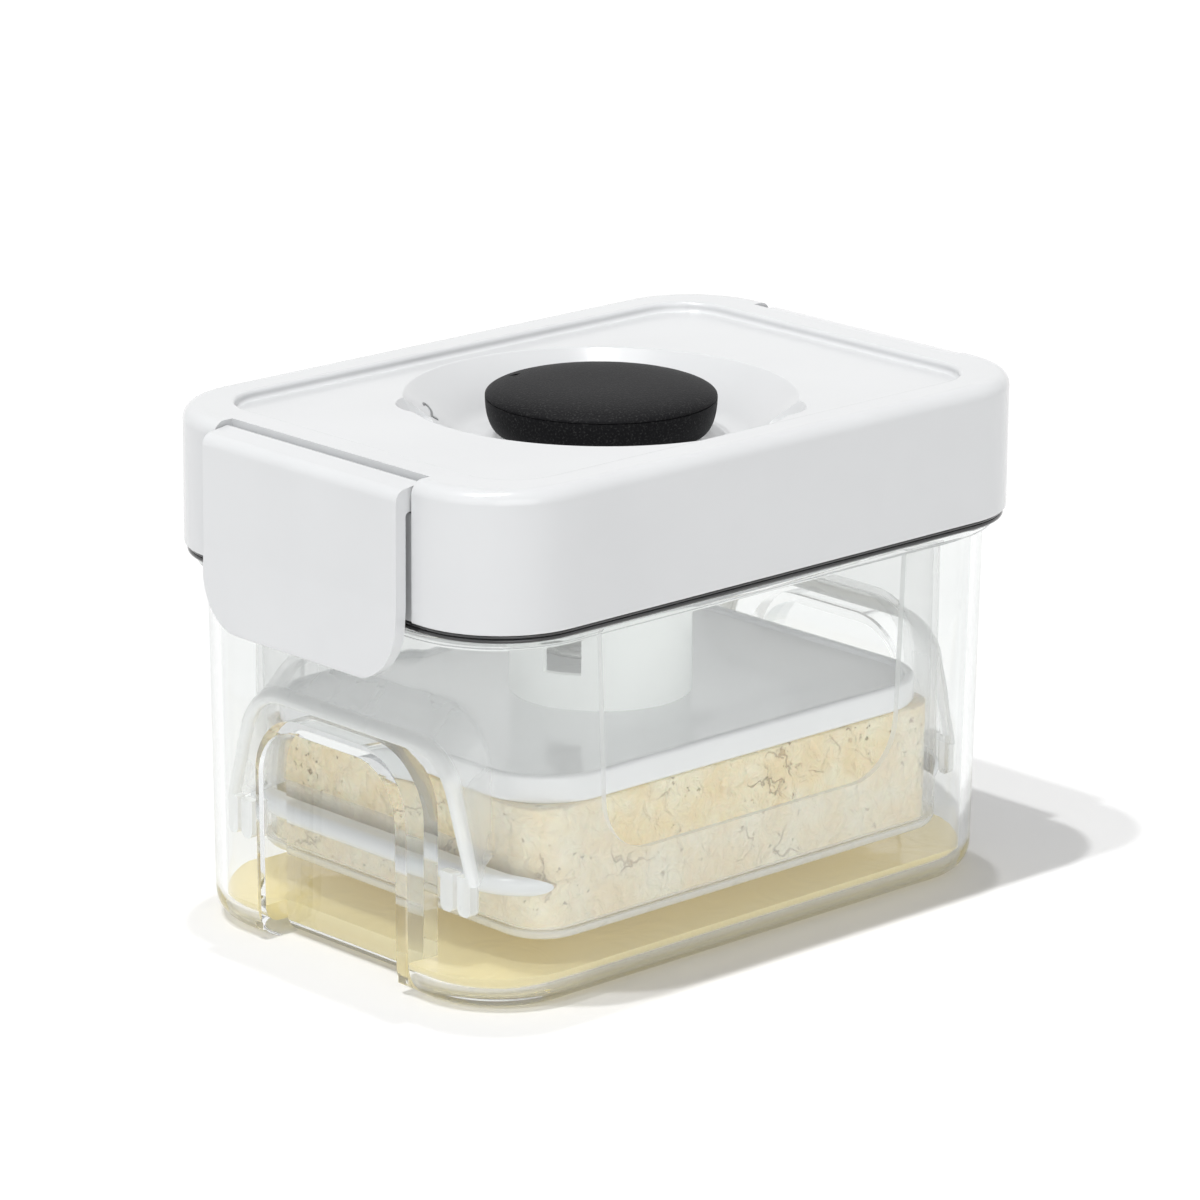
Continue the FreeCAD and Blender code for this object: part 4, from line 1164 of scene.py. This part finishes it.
    def tofu(self) -> None:
        """The pressed block: rounded, uneven, with open pits in its sides."""
        block = self.outer.grown(-self.wall - 0.7)
        low, high = self.base + self.floor + 0.05, self.tofu_top
        rows = 40
        side = [(0.0, low + (high - low) * step / rows) for step in range(1, rows)]
        profile = [(across, low) for across in (-30.0, -16.0, -4.0, -1.2)] + [(-0.4, low + 0.2)]
        profile += side + [(-0.4, high - 0.2)]
        profile += [(across, high) for across in (-1.2, -4.0, -16.0, -30.0)]
        tofu = lofted("tofu_block", block.swept(profile, 640), crease=180.0)
        shifts = [Vector((31.4 * axis, 0, 0)) for axis in range(3)]  # one noise for each axis
        for vertex in tofu.data.vertices:
            x, y, z = vertex.co / MM
            if not low + 0.3 < z < high - 0.3:
                continue
            spot = Vector((x, y, z))
            ragged = spot + Vector([noise.noise(spot * 0.3 + away) for away in shifts]) * 1.6
            swell = noise.noise(spot * 0.06) * 0.3 + noise.noise(spot * 0.3) * 0.12
            pit = max(0.0, 0.2 - noise.voronoi(ragged * self.pit_cells)[0][0])
            small = max(0.0, 0.3 - noise.voronoi(ragged * self.small_pit_cells)[0][0])
            depth = pit * self.pit_depth + small * self.small_pit_depth
            keep = 1.0 if noise.noise(spot * 0.1) > 0.0 else 0.0
            outwards = swell - self.tofu_sunk - depth * keep
            vertex.co += Vector((x, y, 0)).normalized() * outwards * MM
        dress(tofu, Curd(), Body.BASKET)

    def build(self) -> None:
        """Make the basket and its contents."""
        self.basket()
        self.ledge()
        self.tofu()


# ---- lid
@dataclass
class Lid:
    """Lid casing with panel, well and scoops, the figure in its well and the seal under it."""

    outer: Outline = Outline(82.5, 56.0, 22.0)
    panel: Outline = Outline(70.2, 46.8, 12.0)
    rim_round: float = 3.0
    panel_round: float = 0.9
    well_round: float = 8.0
    seal: Outline = Outline(81.8, 55.3, 21.3)
    seal_base: float = 82.17
    beads: tuple[Point, Point] = ((0.45, 0.47, 0.45), (0.55, 1.30, 0.40))
    base: float = 84.0
    top: float = 114.3
    panel_top: float = 112.2
    wall: float = 2.2
    well_radius: float = 43.0
    floor_radius: float = 30.5
    well_floor: float = 102.5
    bore: float = 21.2
    hinge: tuple[float, float] = (81.0, 110.6)
    scoop_offset: float = 36.2
    scoop_radius: float = 9.0
    scoop_depth: float = 5.0
    scoop_draft: float = 35.0
    scoop_turns: tuple[float, float] = (150.0, 303.0)
    clip_half: float = 31.4
    seat_depth: float = 3.6
    seat_inset: float = 1.0
    figure_height: float = 6.0
    figure_width: float = 2.3
    figure_depth: float = 4.0
    figure_place: Point = (-25.6, 26.8, 107.6)
    figure_up: Point = (0.33, 0.895, 0.32)
    figure_out: Point = (0.42, -0.45, 0.79)
    count: int = 288

    def shell(self) -> bpy.types.Object:
        """Skirt, rim, panel and well as one closed skin."""
        wall, under = self.wall, self.panel_top - self.wall
        outside = rounded([(-wall, self.base, 0), (0.0, self.base, 0.5),
                           (0.0, self.top, self.rim_round), (-4.5, self.top, 0)])
        rim = rounded([(2.0, self.top, 0), (0.0, self.top, self.panel_round),
                       (0.0, self.panel_top, self.panel_round), (-1.4, self.panel_top, 0)])
        well = rounded([
            (self.well_radius + 1.6, self.panel_top, 0), (self.well_radius, self.panel_top, 1.0),
            (self.floor_radius, self.well_floor, self.well_round),
            (self.bore, self.well_floor, 0.5),
            (self.bore, self.well_floor - wall, 0), (self.floor_radius, self.well_floor - wall, 0),
            (self.well_radius + wall, self.panel_top - self.scoop_depth - wall, 0),
        ], 8)
        rings = self.outer.swept(outside, self.count) + self.panel.swept(rim, self.count)
        rings += circles(well, self.count)
        rings += [self.outer.grown(-6.5).ring(under, self.count),
                  self.outer.grown(-wall).ring(under - 6, self.count),
                  self.outer.grown(-wall).ring(self.base + 0.5, self.count)]
        return lofted("lid_casing", rings, closed=True)

    def scoop(self, turn: float) -> bpy.types.Object:
        """Cutter for one thumb scoop.

        Args:
            turn: its direction from the axis, in degrees.

        Returns:
            The cutter.
        """
        depth, slope = self.scoop_depth, math.tan(math.radians(self.scoop_draft))
        foot = self.scoop_radius - depth * slope
        low = self.panel_top - depth
        mouth = self.scoop_radius + slope
        profile = rounded([
            (0.0, low, 0), (foot, low, 2.0), (mouth, self.panel_top + 1, 0),
            (0.0, self.panel_top + 1, 0),
        ])
        cutter = lofted("scoop", circles(profile, 64))
        way, out = math.radians(turn), self.scoop_offset * MM
        cutter.data.transform(Matrix.Translation((out * math.cos(way), out * math.sin(way), 0)))
        return cutter

    def notch(self, side: int) -> bpy.types.Object:
        """Cutter for one clip's seat in the skirt and rim.

        Args:
            side: -1 or 1, the end it is on.

        Returns:
            The cutter.
        """
        hinge_x, hinge_z = self.hinge
        face, floor = hinge_x - self.seat_depth, hinge_z - self.seat_depth
        seat = self.outer.half_x - self.seat_inset
        low = self.base - BEYOND
        corners = [(face, floor), (seat, floor), (seat, low), (95, low), (95, 120), (face, 120)]
        outline = [(side * x, z) for x, z in corners]
        return prism("notch", outline, -self.clip_half, self.clip_half, "y")

    def casing(self) -> None:
        """The casing with scoops and clip seats."""
        casing = self.shell()
        combine(casing, *[self.scoop(turn) for turn in self.scoop_turns])
        combine(casing, self.notch(-1), self.notch(1))
        soften(casing, 0.35, 55.0, 2)
        dress(casing, GLOSS_WHITE, Body.LID, "lid_shell", slot=Slot.WHITE)

    def figure(self) -> None:
        """The plain figure that marks the second stage, beside its scoop."""
        curve = bpy.data.curves.new("stage_figure", "FONT")
        curve.body, curve.align_x, curve.align_y = "2", "CENTER", "CENTER"
        curve.extrude = 0.04
        text = linked("stage_figure", curve)
        bpy.context.view_layer.update()
        flat = result(text)
        bpy.data.objects.remove(text)
        out = Vector(self.figure_out).normalized()
        up = Vector(self.figure_up).normalized()
        across = up.cross(out).normalized()
        places = [vertex.co for vertex in flat.vertices]
        wide, long = (max(place[axis] for place in places) - min(place[axis] for place in places)
                      for axis in (0, 1))
        scale = (self.figure_width / wide * MM, self.figure_height / long * MM,
                 self.figure_depth * MM)
        turned = Matrix((across, out.cross(across), out)).transposed().to_4x4()
        flat.transform(Matrix.Translation(Vector(self.figure_place) * MM) @ turned
                       @ Matrix.Diagonal((*scale, 1.0)))
        dress(linked("stage_figure", flat), MARK_GREY, Body.LID)

    def gasket(self) -> None:
        """The seal's two glossy beads, seen between skirt and flange."""
        profile = [(-3.0, self.seal_base)]
        for drawn_back, rise, radius in self.beads:
            middle = (-drawn_back, self.seal_base + rise)
            profile += arc(middle, radius, radius, 12, -90.0, 180.0)
        profile.append((-3.0, self.seal_base + 1.7))
        gasket = lofted("seal_beads", self.seal.swept(profile, self.count), closed=True)
        dress(gasket, SEAL_GLOSS, Body.LID, "lid_gasket", slot=Slot.SEAL)

    def build(self) -> None:
        """Make the lid."""
        self.casing()
        self.figure()
        self.gasket()


# ---- clips
@dataclass
class Clip:
    """One snap clip: a strip over the lid's rim and a face plate with a flared foot."""

    side: int = -1
    half_width: float = 30.8
    hinge_x: float = 81.0
    crest: float = 113.6
    outer: float = 86.2
    thick: float = 2.7
    foot: float = 70.5
    bend: float = 88.0
    flare: float = 0.9
    corner: float = 13.0

    def build(self) -> None:
        """Make the clip."""
        name, body = ("left", Body.CLIP_LEFT) if self.side < 0 else ("right", Body.CLIP_RIGHT)
        inner = self.outer - self.thick
        profile = rounded([
            (self.hinge_x - 2.8, self.crest - 0.1, 1.3), (self.outer, self.crest - 1.3, 2.6),
            (self.outer, self.bend, 20.0),
            (self.outer + self.flare, self.foot, 0.9), (inner + self.flare, self.foot, 0.6),
            (inner, self.bend, 20.0), (inner, self.crest - 6.0, 1.0),
            (self.hinge_x - 2.0, self.crest - 5.8, 1.5),
            (self.hinge_x - 3.0, self.crest - 4.0, 1.5),
        ], 8)
        outline = [(self.side * x, z) for x, z in profile]
        clip = prism(f"clip_plate_{name}", outline, -self.half_width, self.half_width, "y")
        top, low = self.foot + self.corner, self.foot - BEYOND
        for way in (-1, 1):
            middle, edge = way * (self.half_width - self.corner), way * (self.half_width + BEYOND)
            waste = arc((middle, top), way * self.corner, self.corner, 14, -90.0)
            waste += [(edge, top), (edge, low), (middle, low)]
            combine(clip, prism("waste", waste, *span(self.side, 70.0, 95.0), "x"))
        soften(clip, 0.8, 50.0, 3)
        dress(clip, GLOSS_WHITE, body, f"clip_{name}", slot=Slot.WHITE)


# ---- knob
@dataclass
class Knob:
    """Soft black knob that is pushed and turned."""

    lip: float = 104.6
    lip_radius: float = 21.2
    foot: float = 106.1
    foot_radius: float = 22.6
    belt: float = 112.2
    belt_radius: float = 25.2
    crown: float = 115.4
    groove: float = 0.3
    skin: float = 2.0
    core_top: float = 113.0
    core_top_radius: float = 20.0
    squareness: float = 3.2
    mark_turn: float = 114.0
    mark_radius: float = 20.8
    mark_floor: float = 114.2

    def side(self) -> Profile:
        """The skin's outside: a bowl-shaped flank, a fine parting line and a flat dome above it."""
        inner = self.foot_radius - self.groove
        low, high = self.belt - self.groove / 2, self.belt + self.groove / 2
        line = [(self.lip_radius - 1.0, self.lip)]
        line += arc((inner, low), self.belt_radius - inner, low - self.lip, 16, -90.0)
        line.append((self.belt_radius - self.groove, self.belt))
        for step in range(25):
            share = math.sin((1 - step / 24) * math.pi / 2)
            rise = (1 - share ** self.squareness) ** 0.5
            line.append((self.belt_radius * share, high + (self.crown - high) * rise))
        return line

    def pointer(self) -> bpy.types.Object:
        """Cutter for the small pointer sunk in the top, near the edge."""
        corners = [(1.2, 0.0), (-0.9, 1.9), (-0.9, -1.9)]
        cutter = prism("pointer", corners, self.mark_floor, self.crown + 2, "z")
        turned = Matrix.Rotation(math.radians(self.mark_turn), 4, "Z")
        cutter.data.transform(turned @ Matrix.Translation((self.mark_radius * MM, 0, 0)))
        return cutter

    def build(self) -> None:
        """Make the knob's skin, open below round its core."""
        knob = lofted("knob_skin", circles(self.side(), 160), crease=50.0)
        hollow = lofted("hollow", circles([
            (0.0, self.lip - 1.0), (self.lip_radius, self.lip - 1.0), (self.lip_radius, self.foot),
            (self.foot_radius - self.skin, self.foot), (self.belt_radius - self.skin, self.belt),
            (self.core_top_radius, self.core_top), (0.0, self.core_top),
        ], 160))
        combine(knob, hollow, self.pointer())
        dress(knob, KNOB_SKIN, Body.KNOB, "knob_grip", slot=Slot.GRIP)


# ---- plunger
@dataclass
class Plunger:
    """Pressing plate with the stub its tube sits on, and the spring."""

    outline: Outline = Outline(60.3, 45.9, 16.0)
    base: float = 41.68
    rim_top: float = 47.88
    floor: float = 46.88
    stub_inner: float = 15.65
    stub_outer: float = 17.65
    stub_low: float = 45.0
    stub_shoulder: float = 53.0
    stub_top: float = 53.38
    spring_radius: float = 12.2
    spring_wire: float = 0.9
    spring_low: float = 46.93
    spring_high: float = 100.13
    spring_turns: float = 8.0
    spring_travel: float = 14.0

    def plate(self) -> None:
        """The plate with its low rim and the stub that the tube sits on."""
        profile = rounded([
            (-14.0, self.base, 0), (0.0, self.base, 1.2), (0.0, self.rim_top, 1.0),
            (-2.4, self.rim_top, 0.9), (-2.4, self.floor, 0.6), (-14.0, self.floor, 0),
        ])
        plate = lofted("press_board", self.outline.swept(profile))
        inner, outer, shoulder = self.stub_inner, self.stub_outer, self.stub_shoulder
        stub = lofted("stub", circles([
            (inner, self.stub_low), (outer, self.stub_low), (outer, shoulder),
            (outer - 0.35, self.stub_top), (inner + 0.25, self.stub_top), (inner, shoulder),
        ], 96), closed=True)
        combine(plate, stub, cut=Cut.JOIN)
        dress(plate, PLATE_WHITE_PAINTED_GLOW, Body.PLATE, "press_plate", slot=Slot.WHITE)

    def spring(self) -> None:
        """The spring that keeps the plate down."""
        low, high = self.spring_low, self.spring_high
        spring = coil("spring_coil", self.spring_radius, self.spring_wire, low, high,
                      self.spring_turns, STEEL)
        dress(spring, STEEL, Body.CARRIER, "press_spring", slot=Slot.STEEL)
        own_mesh(spring)

    def build(self) -> None:
        """Make plate and spring."""
        self.plate()
        self.spring()


# ---- parts kept as they are
@dataclass(frozen=True)
class Kept:
    """A node whose shape is right: a welded, smooth-shaded copy of it gets a finish."""

    node: str
    body: Body
    finish: Finish
    slot: Slot

    def build(self) -> None:
        """Make and dress the copy."""
        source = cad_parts[self.node]
        copy = linked(f"{self.node}_dressed", source.data.copy())
        work = bmesh.new()
        work.from_mesh(copy.data)
        bmesh.ops.remove_doubles(work, verts=work.verts, dist=0.000002)
        work.to_mesh(copy.data)
        work.free()
        smooth(copy, 28.0)
        dress(copy, self.finish, self.body, self.node, slot=self.slot)


KEPT = [
    Kept("lid_liner", Body.LID, GLOSS_WHITE, Slot.WHITE),
    Kept("sleeve_seal", Body.LID, RUBBER, Slot.SEAL),
    Kept("liner_screws", Body.LID, STEEL, Slot.STEEL),
    Kept("hinge_pin_left", Body.LID, STEEL, Slot.STEEL),
    Kept("hinge_pin_right", Body.LID, STEEL, Slot.STEEL),
    Kept("knob_core", Body.KNOB, INNER_BLACK, Slot.BLACK),
    Kept("lock_sleeve", Body.KNOB, TUBE_WHITE_PAINTED_GLOW, Slot.WHITE),
    Kept("sleeve_screws", Body.KNOB, STEEL, Slot.STEEL),
    Kept("pivot_screw", Body.KNOB, STEEL, Slot.STEEL),
    Kept("pivot_washer", Body.KNOB, STEEL, Slot.STEEL),
    Kept("spring_guide", Body.CARRIER, TUBE_WHITE_PAINTED_GLOW, Slot.WHITE),
    Kept("plunger_tube", Body.PLATE, TUBE_WHITE_PAINTED_GLOW, Slot.WHITE),
]


# ---- floor, light and camera
@dataclass
class Studio:
    """Pale floor, soft light and the camera."""

    azimuth: float = -43.322
    elevation: float = 16.421
    roll: float = 0.415
    lens: float = 176.1
    eye: Point = (-0.8437, -0.8947, 0.4284)
    suns: tuple[tuple[str, Point, float, float], ...] = (
        ("key", (0.235, -0.04, -1.0), 0.98, 1.4),
        ("side", (0.39, -0.04, -1.0), 0.80, 1.8),
        ("top", (-0.05, -0.05, -1.0), 0.50, 1.6),
        ("front_fill", (0.45, 1.0, -0.35), 0.78, 50.0),
        ("left_fill", (1.0, 0.2, -0.3), 0.25, 50.0),
    )
    ambient: float = 0.30
    floor_half: float = 3000.0
    floor_colour: Colour = (0.94, 0.94, 0.94)
    floor_glow: float = 0.04
    direct: tuple[str, ...] = ("Camera", "Glossy", "Transmission")

    def camera(self) -> None:
        """Place the camera."""
        turn, rise, roll = (math.radians(a) for a in (self.azimuth, self.elevation, self.roll))
        back = Vector((
            math.sin(turn) * math.cos(rise), -math.cos(turn) * math.cos(rise), math.sin(rise)
        ))
        right = (-back).cross(Vector((0, 0, 1))).normalized()
        up = right.cross(-back)
        across = right * math.cos(roll) + up * math.sin(roll)
        above = up * math.cos(roll) - right * math.sin(roll)
        data = bpy.data.cameras.new("camera")
        data.lens = self.lens
        data.clip_start = 0.05
        camera = linked("camera", data)
        turned = Matrix((across, above, back)).transposed().to_4x4()
        camera.matrix_world = Matrix.Translation(self.eye) @ turned
        bpy.context.scene.camera = camera

    def lamps(self) -> None:
        """A crisp key from high on the left, weaker ones beside and above, and broad fills."""
        for name, way, strength, spread in self.suns:
            data = bpy.data.lights.new(name, "SUN")
            data.energy = strength
            data.angle = math.radians(spread)
            turned = Vector(way).to_track_quat("-Z", "Y").to_euler()
            linked(name, data).rotation_euler = turned

    def surroundings(self) -> None:
        """Even light all round, white to the camera and in reflections."""
        world = bpy.data.worlds.new("surroundings")
        world.use_nodes = True
        bpy.context.scene.world = world
        graph = Graph(world.node_tree)
        seen = graph.rays(*self.direct)
        light = graph.node("ShaderNodeBackground", {
            "Color": (*WHITE, 1.0), "Strength": self.ambient + seen * (1 - self.ambient),
        })
        graph.node("ShaderNodeOutputWorld", {"Surface": light.outputs[0]})

    def floor(self) -> None:
        """White floor that keeps the shadow."""
        half = self.floor_half
        corners = [(-half, -half, 0), (half, -half, 0), (half, half, 0), (-half, half, 0)]
        floor = shaped("floor", corners, [[0, 1, 2, 3]])
        paint = Paint("floor_white", Base_Color=(*self.floor_colour, 1.0), Roughness=0.9)
        glow = paint.node("ShaderNodeEmission", {
            "Color": (*WHITE, 1.0), "Strength": paint.rays(*self.direct) * self.floor_glow,
        })
        both = paint.node("ShaderNodeAddShader", {0: paint.shader.outputs[0], 1: glow.outputs[0]})
        paint.node("ShaderNodeOutputMaterial", {"Surface": both.outputs[0]})
        floor.data.materials.append(paint.material)

    def build(self) -> None:
        """Set everything up."""
        self.camera()
        self.lamps()
        self.surroundings()
        self.floor()


def main() -> None:
    """Build every sub-assembly in order."""
    logging.basicConfig(level=logging.INFO, format="%(message)s")
    bpy.context.scene.view_settings.view_transform = "Standard"
    pieces = [Container(), Basket(), Lid(), Clip(side=-1), Clip(side=1), Knob(), Plunger()]
    for part in [*pieces, *KEPT, Studio()]:
        part.build()


if __name__ == "__main__":
    main()
